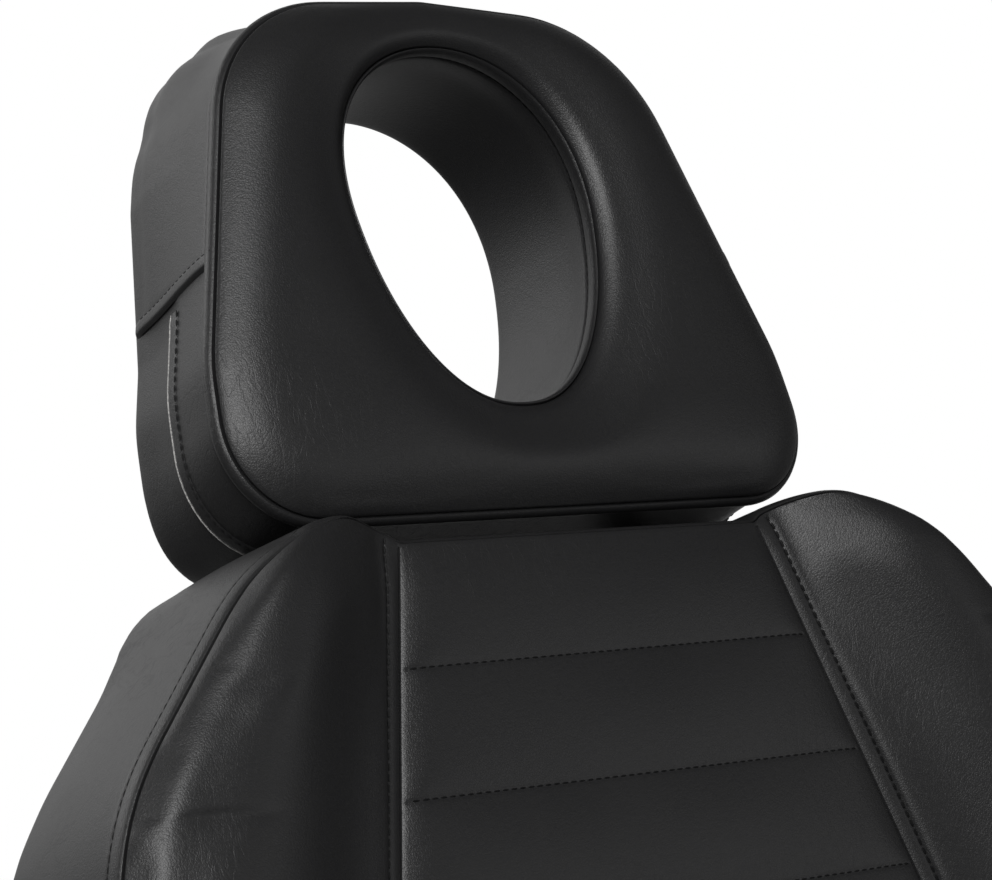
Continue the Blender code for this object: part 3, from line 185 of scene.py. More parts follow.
bm = bmesh.new()
bmesh.ops.create_circle(bm, cap_ends=True, segments=96, radius=4.6)
mesh = bpy.data.meshes.new("studio_floor")
bm.to_mesh(mesh)
bm.free()
floor = bpy.data.objects.new("studio_floor", mesh)
floor.visible_glossy = False
scene.collection.objects.link(floor)
floor_paint, shader, spot = new_finish("studio_floor")
spot.noise(1.3, 3.0).dye(shader, (0.3, (0.74, 0.74, 0.73)), (0.7, (0.78, 0.78, 0.775)))
shader.inputs["Roughness"].default_value = 0.7
away = spot.node("ShaderNodeVectorMath", {"operation": "LENGTH"}, {0: spot}, "Value")
painted = Shade(spot.tree, shader.outputs[0])
clear = spot.node("ShaderNodeBsdfTransparent")
faded = spot.node("ShaderNodeMixShader", {}, {0: away.between(1.6, 4.4), 1: painted, 2: clear})
faded.feed(floor_paint.node_tree.nodes["Material Output"], "Surface")
mesh.materials.append(floor_paint)


# Base: a heavy round steel foot with a shallow dome, powder coated black. A rubber ring under its rim keeps
# it off the floor.
def powder_coat():
    """Black powder coat: a fine orange-peel skin with slightly uneven gloss."""
    finish, shader, spot = new_finish("black_steel")
    peel = spot.noise(900.0, 2.0)
    haze = spot.noise(14.0, 4.0)
    haze.dye(shader, (0.3, (0.013, 0.013, 0.014)), (0.75, (0.021, 0.021, 0.022)))
    (0.34 + haze * 0.16 + peel * 0.06).feed(shader, "Roughness")
    peel.emboss(shader, 0.5, 0.00012)
    return finish


def rubber():
    """Matt black rubber with a dusty, slightly mottled face."""
    finish, shader, spot = new_finish("black_rubber")
    dust = spot.noise(60.0, 5.0)
    dust.dye(shader, (0.3, (0.012, 0.012, 0.012)), (0.8, (0.024, 0.024, 0.024)))
    (0.66 + dust * 0.2).feed(shader, "Roughness")
    spot.noise(1500.0, 2.0).emboss(shader, 0.6, 0.00015)
    return finish


black_steel = powder_coat()
black_rubber = rubber()


def fit_piece(name, bm, finishes, body, slot, *nodes):
    """Makes a piece of a mesh already in place, hangs it on its body's empty and hides the CAD nodes it
    stands for.
    """
    mesh = bpy.data.meshes.new(name)
    bm.to_mesh(mesh)
    bm.free()
    for finish in finishes:
        mesh.materials.append(finish)
    mesh.polygons.foreach_set("use_smooth", [True] * len(mesh.polygons))
    mesh.set_sharp_from_angle(angle=math.radians(50))
    piece = bpy.data.objects.new(name, mesh)
    scene.collection.objects.link(piece)
    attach(piece, body)
    if nodes:
        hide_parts(*nodes)
    return piece


def sharp_edges(bm, degrees):
    return [edge for edge in bm.edges if edge.calc_face_angle(0.0) > math.radians(degrees)]


def break_edges(bm, edges, offset, segments, clamp=True):
    return bmesh.ops.bevel(
        bm, geom=edges, offset=offset, segments=segments, profile=0.5, affect="EDGES", material=-1,
        clamp_overlap=clamp,
    )


def lathe(profile, steps=96, place=None, soft=0.0008):
    """Spins a profile of (radius, height) points round +Z, breaks its sharp edges and puts it in place."""
    bm = bmesh.new()
    points = [bm.verts.new((radius, 0.0, height)) for radius, height in profile]
    lines = [bm.edges.new(pair) for pair in zip(points, points[1:])]
    bmesh.ops.spin(
        bm, geom=points + lines, cent=(0, 0, 0), axis=(0, 0, 1), angle=2 * math.pi, steps=steps,
        use_merge=True,
    )
    bmesh.ops.remove_doubles(bm, verts=bm.verts, dist=0.00001)
    bmesh.ops.recalc_face_normals(bm, faces=bm.faces)
    break_edges(bm, sharp_edges(bm, 28), soft, 2)
    if place:
        bmesh.ops.transform(bm, matrix=place, verts=bm.verts)
    return bm


dome = [
    (0.0, 0.0340), (0.086, 0.0340), (0.108, 0.0305), (0.200, 0.0242), (0.290, 0.0183), (0.318, 0.0145),
    (0.3265, 0.0108), (0.3295, 0.0062), (0.330, 0.0032), (0.326, 0.0030), (0.0, 0.0030),
]
fit_piece("base_foot", lathe(dome, 128), [black_steel], "base", "black_steel", "base_plate")
foot_ring = [(0.296, 0.0030), (0.325, 0.0030), (0.325, 0.0), (0.296, 0.0), (0.296, 0.0030)]
fit_piece("base_foot_ring", lathe(foot_ring, 128), [black_rubber], "base", "black_rubber")


# Pump: a black oil reservoir and cylinder, bolted to the foot by its flange. A chromed gland with a rubber
# wiper closes the cylinder round the ram.
def chrome_plate():
    """Bright chrome plate with faint wiping marks in its gloss."""
    finish, shader, spot = new_finish("chrome")
    smears = spot.noise(18.0, 5.0, Distortion=1.2)
    smears.dye(shader, (0.3, (0.55, 0.56, 0.57)), (0.7, (0.62, 0.63, 0.64)))
    smears.between(0.35, 0.75, 0.05, 0.15).feed(shader, "Roughness")
    shader.inputs["Metallic"].default_value = 1.0
    return finish


def machined_steel():
    """Bright turned and brushed steel: fine streaks across X and a dull sheen."""
    finish, shader, spot = new_finish("bright_steel")
    streaks = spot.stretched((90.0, 900.0, 900.0)).noise(1.0, 3.0)
    streaks.dye(shader, (0.3, (0.36, 0.36, 0.37)), (0.7, (0.48, 0.48, 0.49)))
    streaks.between(0.3, 0.7, 0.24, 0.38).feed(shader, "Roughness")
    streaks.emboss(shader, 0.3, 0.00005)
    shader.inputs["Metallic"].default_value = 1.0
    return finish


chrome = chrome_plate()
bright_steel = machined_steel()

pump = [
    (0.0, 0.0343), (0.085, 0.0343), (0.085, 0.0463), (0.064, 0.0463), (0.060, 0.0475), (0.058, 0.0510),
    (0.058, 0.1600), (0.0565, 0.1640), (0.053, 0.1672), (0.042, 0.1745), (0.0398, 0.1765), (0.039, 0.1800),
    (0.039, 0.2949), (0.0256, 0.2949), (0.0256, 0.2400), (0.0, 0.2400),
]
fit_piece("pump_body", lathe(pump), [black_steel], "base", "black_steel", "pump_cylinder")
gland = [
    (0.0256, 0.2952), (0.0256, 0.3160), (0.0310, 0.3160), (0.0315, 0.3172), (0.0415, 0.3172),
    (0.046, 0.3140), (0.046, 0.3080), (0.0445, 0.3068), (0.0445, 0.3048), (0.046, 0.3036), (0.046, 0.2952),
    (0.0256, 0.2952),
]
fit_piece("pump_gland", lathe(gland), [chrome], "base", "chrome", "ram_gland")
wiper = [(0.0256, 0.3162), (0.0256, 0.3196), (0.0275, 0.3196), (0.0306, 0.3162), (0.0256, 0.3162)]
fit_piece("pump_wiper", lathe(wiper, soft=0.0003), [black_rubber], "base", "black_rubber")
bolts = bmesh.new()
for number in range(6):
    turned = Matrix.Rotation(math.pi / 3 * (number + 0.5), 4, "Z")
    for sides, radius, low, high in ((24, 0.0085, 0.0464, 0.0480), (6, 0.0066, 0.0480, 0.0532)):
        bolt_at = turned @ Matrix.Translation((0.0745, 0, (low + high) / 2))
        bmesh.ops.create_cone(
            bolts, cap_ends=True, segments=sides, radius1=radius, radius2=radius, depth=high - low,
            matrix=bolt_at,
        )
break_edges(bolts, sharp_edges(bolts, 28), 0.0004, 1)
fit_piece("pump_bolts", bolts, [bright_steel], "base", "bright_steel")


# Pedal: a chromed bar on a pin in the pump's bracket, which pumps the oil when it is trodden. Its tread
# carries a moulded rubber pad with ribs across it.
def block(bm, low, high, soft):
    """A block between two corners, with its edges broken."""
    low, high = Vector(low), Vector(high)
    shape = Matrix.Translation((low + high) / 2) @ Matrix.Diagonal((*(high - low), 1.0))
    made = bmesh.ops.create_cube(bm, size=1.0, matrix=shape)["verts"]
    break_edges(bm, list(dict.fromkeys(edge for vert in made for edge in vert.link_edges)), soft, 3)


RIBS = 7
low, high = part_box("pedal_pad")
ribs = bmesh.new()
block(ribs, low, (high.x, high.y, high.z - 0.0028), 0.0022)
for number in range(RIBS):
    rib_x = low.x + 0.0045 + number * (high.x - low.x - 0.009) / (RIBS - 1)
    rib_low = (rib_x - 0.0021, low.y + 0.003, high.z - 0.005)
    block(ribs, rib_low, (rib_x + 0.0021, high.y - 0.003, high.z), 0.0009)
fit_piece("pedal_tread_pad", ribs, [black_rubber], "pedal", "black_rubber", "pedal_pad")

# Ram and swivel: a ground and chromed steel ram rises out of the pump. The seat's hub turns on its king pin
# over a thin steel bearing.
ram = [
    (0.0, 0.3848), (0.012, 0.3848), (0.012, 0.3452), (0.042, 0.3452), (0.042, 0.3372), (0.0290, 0.3372),
    (0.0262, 0.3362), (0.025, 0.3335), (0.025, 0.0949), (0.0, 0.0949),
]
fit_piece("ram_chromed", lathe(ram), [chrome], "ram", "chrome", "lift_ram")
washer = [
    (0.0125, 0.3455), (0.0125, 0.3545), (0.040, 0.3545), (0.040, 0.3515), (0.0388, 0.3508),
    (0.0388, 0.3492), (0.040, 0.3485), (0.040, 0.3455), (0.0125, 0.3455),
]
fit_piece("swivel_race", lathe(washer, soft=0.0004), [bright_steel], "ram", "bright_steel", "swivel_bearing")
hub = [
    (0.0125, 0.3548), (0.0125, 0.3908), (0.045, 0.3908), (0.045, 0.3600), (0.0425, 0.3548), (0.0125, 0.3548),
]
fit_piece("swivel_socket", lathe(hub), [black_steel], "seat", "black_steel", "swivel_hub")


# Frame parts that keep their CAD shape: welded rails, tubes and lugs, pins, gas spring and lever get the
# finish of their slot. The boards are plywood, with the plies in their edges.
def plastic():
    """Moulded black plastic with a fine spark-eroded texture."""
    finish, shader, spot = new_finish("black_plastic")
    spark = spot.noise(1300.0, 3.0)
    flow = spot.noise(25.0, 3.0)
    flow.dye(shader, (0.3, (0.014, 0.014, 0.015)), (0.75, (0.022, 0.022, 0.023)))
    (0.38 + flow * 0.12 + spark * 0.08).feed(shader, "Roughness")
    spark.emboss(shader, 0.5, 0.00012)
    return finish


def plywood(name, tilt, ply=0.0021):
    """Birch plywood of a board tilted about X: long grain on its faces, dark and pale plies in its edges."""
    finish, shader, spot = new_finish(name)
    face = (0.0, -math.sin(tilt), math.cos(tilt))
    normal = spot.node("ShaderNodeNewGeometry", output="Normal")
    edge = spot.sum("ABSOLUTE", normal.dot(face), 0.0).between(0.5, 0.8, 1.0, 0.0)
    grain = spot.stretched((150.0, 9.0, 9.0)).noise(1.0, 5.0, Distortion=0.6)
    plies = spot.sum("PINGPONG", spot.dot(face), ply).between(0.3 * ply, 0.7 * ply)
    mark = grain * (1.0 - edge) + (0.7 * plies + 0.3 * grain) * edge
    mark.dye(shader, (0.25, (0.30, 0.19, 0.10)), (0.55, (0.50, 0.35, 0.20)), (0.8, (0.62, 0.47, 0.30)))
    (0.5 + grain * 0.2).feed(shader, "Roughness")
    grain.emboss(shader, 0.35, 0.0003)
    return finish


black_plastic = plastic()
slot_finish = {
    "black_steel": black_steel, "chrome": chrome, "bright_steel": bright_steel,
    "black_plastic": black_plastic, "black_rubber": black_rubber,
}
back_tilt = math.radians(68.44)
head_lean = math.radians(-1.11)
leg_tilt = math.radians(60)
flat_board = plywood("plywood_level", 0.0)
leg_board = plywood("plywood_legs", leg_tilt)
board_finish = {
    "back_board": plywood("plywood_back", back_tilt),
    "headrest_board": plywood("plywood_headrest", back_tilt + head_lean),
    "leg_board_left": leg_board, "leg_board_right": leg_board,
}
for name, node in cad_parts.items():
    for place in node.material_slots:
        kept = place.material.name.split(".")[0]
        place.material = board_finish.get(name, slot_finish.get(kept, flat_board))

# Release grip: a moulded rubber sleeve with ribs round it, pushed onto the end of the recline lever beside
# the seat.
grip = [(0.0, 0.0), (0.0092, 0.0), (0.010, 0.0012)]
for number in range(9):
    rib = 0.006 + number * 0.0072
    grip += [(0.010, rib), (0.0090, rib + 0.0008), (0.0090, rib + 0.0022), (0.010, rib + 0.0030)]
grip += [(0.010, 0.0750), (0.0088, 0.0785), (0.0060, 0.0800), (0.0, 0.0800)]
grip_place = Matrix.Translation((0.312, 0.1303, 0.4497)) @ Matrix.Rotation(-math.pi / 2, 4, "X")
sleeve = lathe(grip, 48, grip_place, 0.0003)
fit_piece("recline_grip_ribbed", sleeve, [black_rubber], "recline_lever", "black_rubber", "recline_grip")

# Arm sockets and posts: a black tube welded to an arm from the seat rail, and a chromed post that slides in
# it and carries the arm board on a flange.
SIDES = (("left", 1), ("right", -1))
ARM_X, ARM_Y = 0.355, -0.030
socket = [(0.0, 0.4197), (0.019, 0.4197), (0.019, 0.5597), (0.0129, 0.5597), (0.0129, 0.4444), (0.0, 0.4444)]
post = [
    (0.0, 0.7207), (0.006, 0.7207), (0.006, 0.7117), (0.030, 0.7117), (0.030, 0.7057), (0.016, 0.7057),
    (0.0133, 0.7045), (0.0125, 0.7020), (0.0125, 0.4447), (0.0, 0.4447),
]
for side, sign in SIDES:
    upright = Matrix.Translation((sign * ARM_X, ARM_Y, 0.0))
    bm = lathe(socket, 64, upright)
    reach_x = sorted((sign * 0.1829, sign * 0.3410))
    block(bm, (reach_x[0], -0.0425, 0.4372), (reach_x[1], -0.0175, 0.4622), 0.003)
    fit_piece("arm_socket_welded_" + side, bm, [black_steel], "seat", "black_steel", "arm_socket_" + side)
    body = "arm_post_" + side
    fit_piece("arm_post_chromed_" + side, lathe(post, 64, upright), [chrome], body, "chrome", body)


# Hand knobs: six-lobed moulded plastic clamp knobs on bright screws. Two clamp the headrest's bars in the
# back tubes, and one clamps each arm post in its socket.
def ease(value):
    value = min(max(value, 0.0), 1.0)
    return value * value * (3 - 2 * value)


def extrude_rim(bm, rim):
    """Extrudes an open edge, and returns the new verts, all the new edges, and the new open edge."""
    made = bmesh.ops.extrude_edge_only(bm, edges=rim)["geom"]
    verts = [item for item in made if isinstance(item, bmesh.types.BMVert)]
    edges = [item for item in made if isinstance(item, bmesh.types.BMEdge)]
    return verts, edges, [edge for edge in edges if edge.is_boundary]


def hand_knob(place):
    """A lobed knob with a domed face, which points down its screw along +Z."""
    bm = bmesh.new()
    ring = bmesh.ops.create_circle(bm, segments=72, radius=1.0)["verts"]
    profile = (
        (0.80, -0.0082), (0.95, -0.0092), (1.0, -0.0115), (1.0, -0.0225), (0.97, -0.0255), (0.88, -0.0274),
        (0.70, -0.0280), (0.62, -0.0276), (0.58, -0.0270), (0.30, -0.0274),
    )
    rim = list(bm.edges)
    bmesh.ops.contextual_create(bm, geom=rim)
    for number, (share, level) in enumerate(profile):
        if number:
            ring, _, rim = extrude_rim(bm, rim)
        for vert in ring:
            around = math.atan2(vert.co.y, vert.co.x)
            lobed = 0.018 + 0.0022 * math.cos(6 * around) * ease((share - 0.6) / 0.3)
            vert.co = (share * lobed * math.cos(around), share * lobed * math.sin(around), level)
    bmesh.ops.contextual_create(bm, geom=rim)
    bmesh.ops.recalc_face_normals(bm, faces=bm.faces)
    bmesh.ops.transform(bm, matrix=place, verts=bm.verts)
    return bm


back_place = Matrix.Translation((0, 0.235, 0.515)) @ Matrix.Rotation(back_tilt, 4, "X")
knob_screw = [(0.0, -0.009), (0.004, -0.009), (0.004, -0.0006), (0.0034, 0.0), (0.0, 0.0)]
for side, sign in SIDES:
    on_back = back_place @ Matrix.Translation((sign * 0.120, 0.610, -0.0756))
    on_arm = Matrix.Translation((sign * 0.3743, ARM_Y, 0.5197)) @ Matrix.Rotation(-sign * math.pi / 2, 4, "Y")
    for name, place in (("headrest_knob_", on_back), ("arm_knob_", on_arm)):
        body = name + side
        fit_piece(body + "_lobed", hand_knob(place), [black_plastic], body, "black_plastic", body)
        fit_piece(body + "_screw", lathe(knob_screw, 32, place, 0.0002), [bright_steel], body, "bright_steel")


# Seat pad: foam on a plywood board in a sewn black leather-cloth cover. Two bolsters flank a panel with sewn
# channels, the gusset hangs from the outer seam, and the cover is folded round the board. A dust cloth closes
# it behind, stapled along its edge.
def leather_cloth():
    """Black coated cloth with a fine pebble grain, a few soft creases and slightly uneven gloss."""
    finish, shader, spot = new_finish("black_leather")
    shift = {0: spot.noise(420.0, 2.0).other("Color"), 1: (0.0008,) * 3, 2: spot}
    bent = spot.node("ShaderNodeVectorMath", {"operation": "MULTIPLY_ADD"}, shift)
    cells = spot.node(
        "ShaderNodeTexVoronoi", {"feature": "DISTANCE_TO_EDGE"}, {"Vector": bent, "Scale": 850.0}, "Distance"
    )
    pebbles = cells.between(0.0, 0.22)
    pores = spot.noise(620.0, 4.0, Roughness=0.6)
    waves = spot.stretched((150.0, 60.0, 42.0)).noise(1.0, 3.0, Distortion=0.5)
    worn = spot.noise(7.0, 3.0)
    fold = spot.sum("ABSOLUTE", waves - 0.5, 0.0)
    creases = fold.between(0.0, 0.030, 1.0, 0.0) * worn.between(0.46, 0.66)
    (pebbles * 0.10 + pores * 0.36 - creases * 0.13).emboss(shader, 0.9, 0.0004)
    mottle = worn * 0.7 + pebbles * 0.3
    mottle.dye(shader, (0.25, (0.0062, 0.0062, 0.0066)), (0.8, (0.0098, 0.0097, 0.0100)))
    (0.33 + worn * 0.10 + pores * 0.08 + creases * 0.05).feed(shader, "Roughness")
    shader.inputs["Specular IOR Level"].default_value = 0.42
    return finish


def thread_with_hole_shade():
    """Bonded black thread, darkened as painted shade of its holes: a tight twist, a little glossier on the
    crowns.
    """
    finish, shader, spot = new_finish("black_thread")
    strand = spot.noise(1800.0, 1.0)
    # Near black and darker than the leather: the thread's own black, with painted shade of the stitch holes.
    strand.dye(shader, (0.3, (0.0015, 0.0015, 0.0016)), (0.8, (0.005, 0.005, 0.0053)))
    (0.6 + strand * 0.2).feed(shader, "Roughness")
    shader.inputs["Specular IOR Level"].default_value = 0.2
    return finish


def dust_cloth():
    """Thin black spun cloth under a pad: matt, with pressed dimples and cloudy fibres."""
    finish, shader, spot = new_finish("dust_cloth")
    fibres = spot.noise(160.0, 6.0, Distortion=1.5)
    pressed = {"Vector": spot, "Scale": 600.0, "Randomness": 0.2}
    dimples = spot.node("ShaderNodeTexVoronoi", {}, pressed, "Distance")
    fibres.dye(shader, (0.3, (0.016, 0.016, 0.017)), (0.75, (0.042, 0.042, 0.044)))
    (0.80 + fibres * 0.15).feed(shader, "Roughness")
    (dimples + fibres * 0.4).emboss(shader, 0.6, 0.0003)
    return finish


black_leather = leather_cloth()
black_thread = thread_with_hole_shade()
black_felt = dust_cloth()


def roll(distance, radius):
    """How far a cover has risen at this distance from a seam: steep at first, then level."""
    return 1 - (1 - min(max(distance / radius, 0.0), 1.0)) ** 2.3


def rounded(corners, step=math.radians(5)):
    """Points of a polygon of (x, y, radius) corners, each rounded by an arc of its radius."""
    points = []
    for index, (x, y, radius) in enumerate(corners):
        here = Vector((x, y))
        if radius == 0:
            points.append(here)
            continue
        before = (Vector(corners[index - 1][:2]) - here).normalized()
        after = (Vector(corners[(index + 1) % len(corners)][:2]) - here).normalized()
        half = before.angle(after) / 2
        centre = here + (before + after).normalized() * radius / math.sin(half)
        start = here + before * radius / math.tan(half) - centre
        turn = math.copysign(math.pi - 2 * half, after.cross(before))
        steps = max(2, round(abs(turn) / step))
        for number in range(steps + 1):
            points.append(centre + Matrix.Rotation(turn * number / steps, 2) @ start)
    return points


def right_side(corners):
    """The right-hand side of a pad's outline, rounded at its corners, from one end to the other."""
    return rounded([(0, corners[0][1], 0), *corners, (0, corners[-1][1], 0)])[1:-1]


def width_along(corners):
    """A function that gives a pad's half width at a place along it, from its right-hand corners."""
    side = right_side(corners)
    places = [point.y for point in side]
    widths = [point.x for point in side]
    return lambda row: float(np.interp(row, places, widths))


def cover_rows(low, high, lines, arcs, apart=0.009):
    """Rows across a pad: round its end corners' arcs, close together at each sewn line, never far apart."""
    kept = {low, high, *lines}
    rows = set(kept)
    for end, inward, radius in ((low, 1, arcs[0]), (high, -1, arcs[1])):
        rows |= {end + inward * radius * (1 - math.cos(math.radians(turn))) for turn in range(12, 91, 13)}
        rows |= {end + inward * share for share in (0.0025, 0.007, 0.013, 0.021)}
    for line in lines:
        rows |= {line + shift for shift in (-0.012, -0.0065, -0.0028, 0.0028, 0.0065, 0.012)}
    ordered = []
    for row in sorted(row for row in rows if low <= row <= high):
        if ordered and row - ordered[-1] < 0.002:
            if row in kept:
                ordered[-1] = row
        else:
            ordered.append(row)
    filled = [ordered[0]]
    for row in ordered[1:]:
        pieces = math.ceil((row - filled[-1]) / apart)
        start = filled[-1]
        filled += [start + (row - start) * piece / pieces for piece in range(1, pieces + 1)]
    return filled


PANEL_SEAM = 11
PANEL_TOPSTITCH = 13


def half_columns(inner, outer):
    """Places across half a pad from its middle, close together beside the panel's seam and the edge."""
    fine = min(1.0, (outer - inner) / 0.075)
    columns = [(inner - 0.018) * step / 7 for step in range(8)]
    columns += [inner - 0.012, inner - 0.007, inner - 0.003, inner]
    columns += [inner + near * fine for near in (0.004, 0.008, 0.013)]
    start, end = columns[-1], outer - 0.030 * fine
    columns += [start + (end - start) * step / 6 for step in range(1, 7)]
    columns += [outer - near * fine for near in (0.021, 0.013, 0.007, 0.0025, 0.0)]
    return columns


SEAM, TOPSTITCH, CHANNEL, STAPLED = 1, 2, 3, 4
PAD_LEVEL = 0.045
BOARD_BACK = -0.045
COVER_OVER_BOARD = 0.0002
COVER_BACK = BOARD_BACK - COVER_OVER_BOARD
CHANNEL_PITCH = 0.0585
TOPSTITCH_DROP = 0.0085
FOLD_DROP = 0.0115
EDGE_ROLL = 0.030
HINGE_FADE = 0.110
STITCH_PITCH = 0.0048
STAPLE_PITCH = 0.030
SWELL_FRAMES = 20


def channel_front(rows, half_width, panel_half, rise, lines, peak, hinged, middle=0.0):
    """The front of a pad as a grid: channels sewn across a sunken panel between two bolsters."""
    bm = bmesh.new()
    line = bm.edges.layers.int.new("line")
    across = len(half_columns(0.1, 0.2)) - 1
    last = len(rows) - 1
    bmesh.ops.create_grid(bm, x_segments=2 * across, y_segments=last, size=1)
    found = {}
    for vert in bm.verts:
        column = round(vert.co.x * across)
        number = round((vert.co.y + 1) / 2 * last)
        found[vert] = (column, number)
        row = rows[number]
        inner, outer = panel_half(row), half_width(row)
        x = half_columns(inner, outer)[abs(column)]
        from_end = min(row - rows[0], rows[-1] - row)
        from_hinge = min(abs(row - end) for end in hinged)
        fade = ease(from_hinge / HINGE_FADE)
        along = row
        if x <= inner:
            edge = 0.0
            nearest = min(min(abs(row - place) for place in lines), from_end + 0.004)
            full = 0.0032 * (0.75 + 0.25 * roll(nearest, 0.008)) * roll(inner - x, 0.016)
        else:
            share = (x - inner) / (outer - inner)
            edge = rise * fade * ease(1.5 * share - 0.10)
            crown = 0.013 * ease((x - inner - 0.010) / 0.070) + 0.0030 * ease((x - inner) / 0.0065)
            full = edge + fade * crown * roll(outer - x, 0.013)
            along += peak * math.sin(math.pi * share) ** 0.6 * ease(1 - (rows[-1] - row) / 0.030)
        sunk = 0.015 * (1 - roll(from_hinge, EDGE_ROLL))
        height = PAD_LEVEL + edge + (full - edge) * roll(from_end, EDGE_ROLL) - sunk
        vert.co = (middle + math.copysign(x, column), along, height)
    sewn_rows = {rows.index(place) for place in lines}
    for edge in bm.edges:
        (column, number), (next_column, next_number) = (found[vert] for vert in edge.verts)
        widest = max(abs(column), abs(next_column))
        if column == next_column and not {number, next_number} & {0, last}:
            edge[line] = {PANEL_SEAM: SEAM, PANEL_TOPSTITCH: TOPSTITCH}.get(widest, 0)
        elif number == next_number and number in sewn_rows and widest < PANEL_SEAM:
            edge[line] = CHANNEL
    return bm


def hang_gusset(bm, rim, rings, bottom):
    """Extrudes an open edge of a cover down its side. A ring is its drop, its share of the rest of the way to
    the bottom, and how far it stands out. One of them carries the topstitch. Returns the last open edge."""
    line = bm.edges.layers.int["line"]
    station = bm.verts.layers.int.get("station") or bm.verts.layers.int.new("station")
    seam = {}
    for vert in dict.fromkeys(vert for edge in rim for vert in edge.verts):
        ahead = Vector((0.0, 0.0, 0.0))
        for edge in vert.link_edges:
            if edge.is_boundary:
                run = edge.link_loops[0].link_loop_next.vert.co - edge.link_loops[0].vert.co
                ahead += Vector((run.x, run.y, 0.0)).normalized()
        vert[station] = len(seam) + 1
        seam[vert[station]] = (vert.co.copy(), Vector((ahead.y, -ahead.x, 0.0)).normalized())
    for edge in rim:
        edge[line] = SEAM
    for drop, share, out in rings:
        verts, edges, rim = extrude_rim(bm, rim)
        for edge in edges:
            edge[line] = 0
        for vert in verts:
            start, outward = seam[vert[station]]
            push = out(start, outward) if callable(out) else out
            vert.co = start + outward * push
            vert.co.z = start.z - drop - share * (start.z - drop - bottom)
        if drop == TOPSTITCH_DROP:
            for edge in rim:
                edge[line] = TOPSTITCH
    return rim


def pad_gusset(lean=0.0, flare=0.0):
    """Rings of a gusset: a sewn fold beside the seam, then down the side with some lean, and round the
    board's back. The corners above slanted shoulders flare out further."""
    def out(share, more):
        def stand(start, outward):
            corner = ease((outward.y - 0.60) / 0.3) * ease((1 - outward.y) / 0.12)
            return 0.003 + more + share * (lean + flare * corner)
        return stand

    rings = [(0.002, 0, 0.0012), (0.0045, 0, 0.0022), (0.007, 0, 0.0026)]
    rings += [(TOPSTITCH_DROP, 0, 0.0022), (FOLD_DROP, 0, 0.0028)]
    for share in (0.1, 0.22, 0.36, 0.5, 0.64, 0.77, 0.88, 0.945):
        rings.append((FOLD_DROP, share, out(share, 0.001 * math.sin(math.pi * share))))
    for share, inset in ((0.985, 0.0004), (1.0, 0.0018), (1.0, 0.010), (1.0, 0.018)):
        rings.append((FOLD_DROP, share, out(1.0, -inset)))
    return rings


def swell(bm, room, pressure=4.0):
    """Blows a cover up as cloth under light pressure, held along its sewn lines and under its board, and caps
    how far it moves."""
    line = bm.edges.layers.int["line"]
    lowest = min(vert.co.z for vert in bm.verts)
    bm.verts.index_update()
    held = []
    for vert in bm.verts:
        if any(edge[line] for edge in vert.link_edges) or vert.co.z < lowest + 0.012:
            held.append(vert.index)
    mesh = bpy.data.meshes.new("cover")
    bm.to_mesh(mesh)
    cover = bpy.data.objects.new("cover", mesh)
    scene.collection.objects.link(cover)
    cover.vertex_groups.new(name="held").add(held, 1.0, "REPLACE")
    cloth = cover.modifiers.new("cloth", "CLOTH")
    cloth.settings.vertex_group_mass = "held"
    cloth.settings.use_pressure = True
    cloth.settings.uniform_pressure_force = pressure
    cloth.settings.effector_weights.gravity = 0.0
    cloth.collision_settings.use_collision = False
    cloth.point_cache.frame_start, cloth.point_cache.frame_end = 1, SWELL_FRAMES
    for step in range(1, SWELL_FRAMES + 1):
        scene.frame_set(step)
    swollen = cover.evaluated_get(bpy.context.evaluated_depsgraph_get()).data
    for vert, point in zip(bm.verts, swollen.vertices):
        move = point.co - vert.co
        vert.co += move * min(1.0, room / max(move.length, 1e-9))
    bpy.data.objects.remove(cover)
    bpy.data.meshes.remove(mesh)
    scene.frame_set(1)


def sewn_runs(bm, kind):
    """Runs of points along the sewn edges of one kind, in order, each with the cover's normal there."""
    line = bm.edges.layers.int["line"]
    left = dict.fromkeys(edge for edge in bm.edges if edge[line] == kind)
    runs = []
    while left:
        edge = next(iter(left))
        del left[edge]
        run = list(edge.verts)
        for _ in range(2):
            ahead = edge
            while ahead:
                ahead = next((item for item in run[-1].link_edges if item in left), None)
                if ahead:
                    del left[ahead]
                    run.append(ahead.other_vert(run[-1]))
            run.reverse()
        runs.append([(vert.co.copy(), vert.normal.copy()) for vert in run])
    return runs


def short_stick(name, half_size):
    """A short rounded stick along X: one stitch of thread, or the crown of one staple."""
    bm = bmesh.new()
    lying = Matrix.Rotation(math.pi / 2, 4, "Y")
    bmesh.ops.create_uvsphere(bm, u_segments=4, v_segments=6, radius=1.0, matrix=lying)
    bmesh.ops.scale(bm, vec=half_size, verts=bm.verts)
    mesh = bpy.data.meshes.new(name)
    bm.to_mesh(mesh)
    bm.free()
    return mesh


one_stitch = short_stick("stitch", (0.0018, 0.00062, 0.0005))
one_staple = short_stick("staple", (0.0062, 0.0007, 0.0007))


def lay_stitches(bm, runs, sink, pitch=STITCH_PITCH, stick=one_stitch):
    """Lays stitches end to end along runs of points, sunk below the cover, or staples further apart."""
    for run in runs:
        travelled, due = 0.0, pitch / 2
        for (start, up), (end, next_up) in zip(run, run[1:]):
            span = (end - start).length
            while due <= travelled + span:
                share = (due - travelled) / span
                along = (end - start).normalized()
                across = up.lerp(next_up, share).cross(along).normalized()
                lay = Matrix((along, across, along.cross(across))).transposed().to_4x4()
                lay.translation = start.lerp(end, share) - lay.col[2].to_3d() * sink
                stick.transform(lay)
                bm.from_mesh(stick)
                stick.transform(lay.inverted())
                due += pitch
            travelled += span


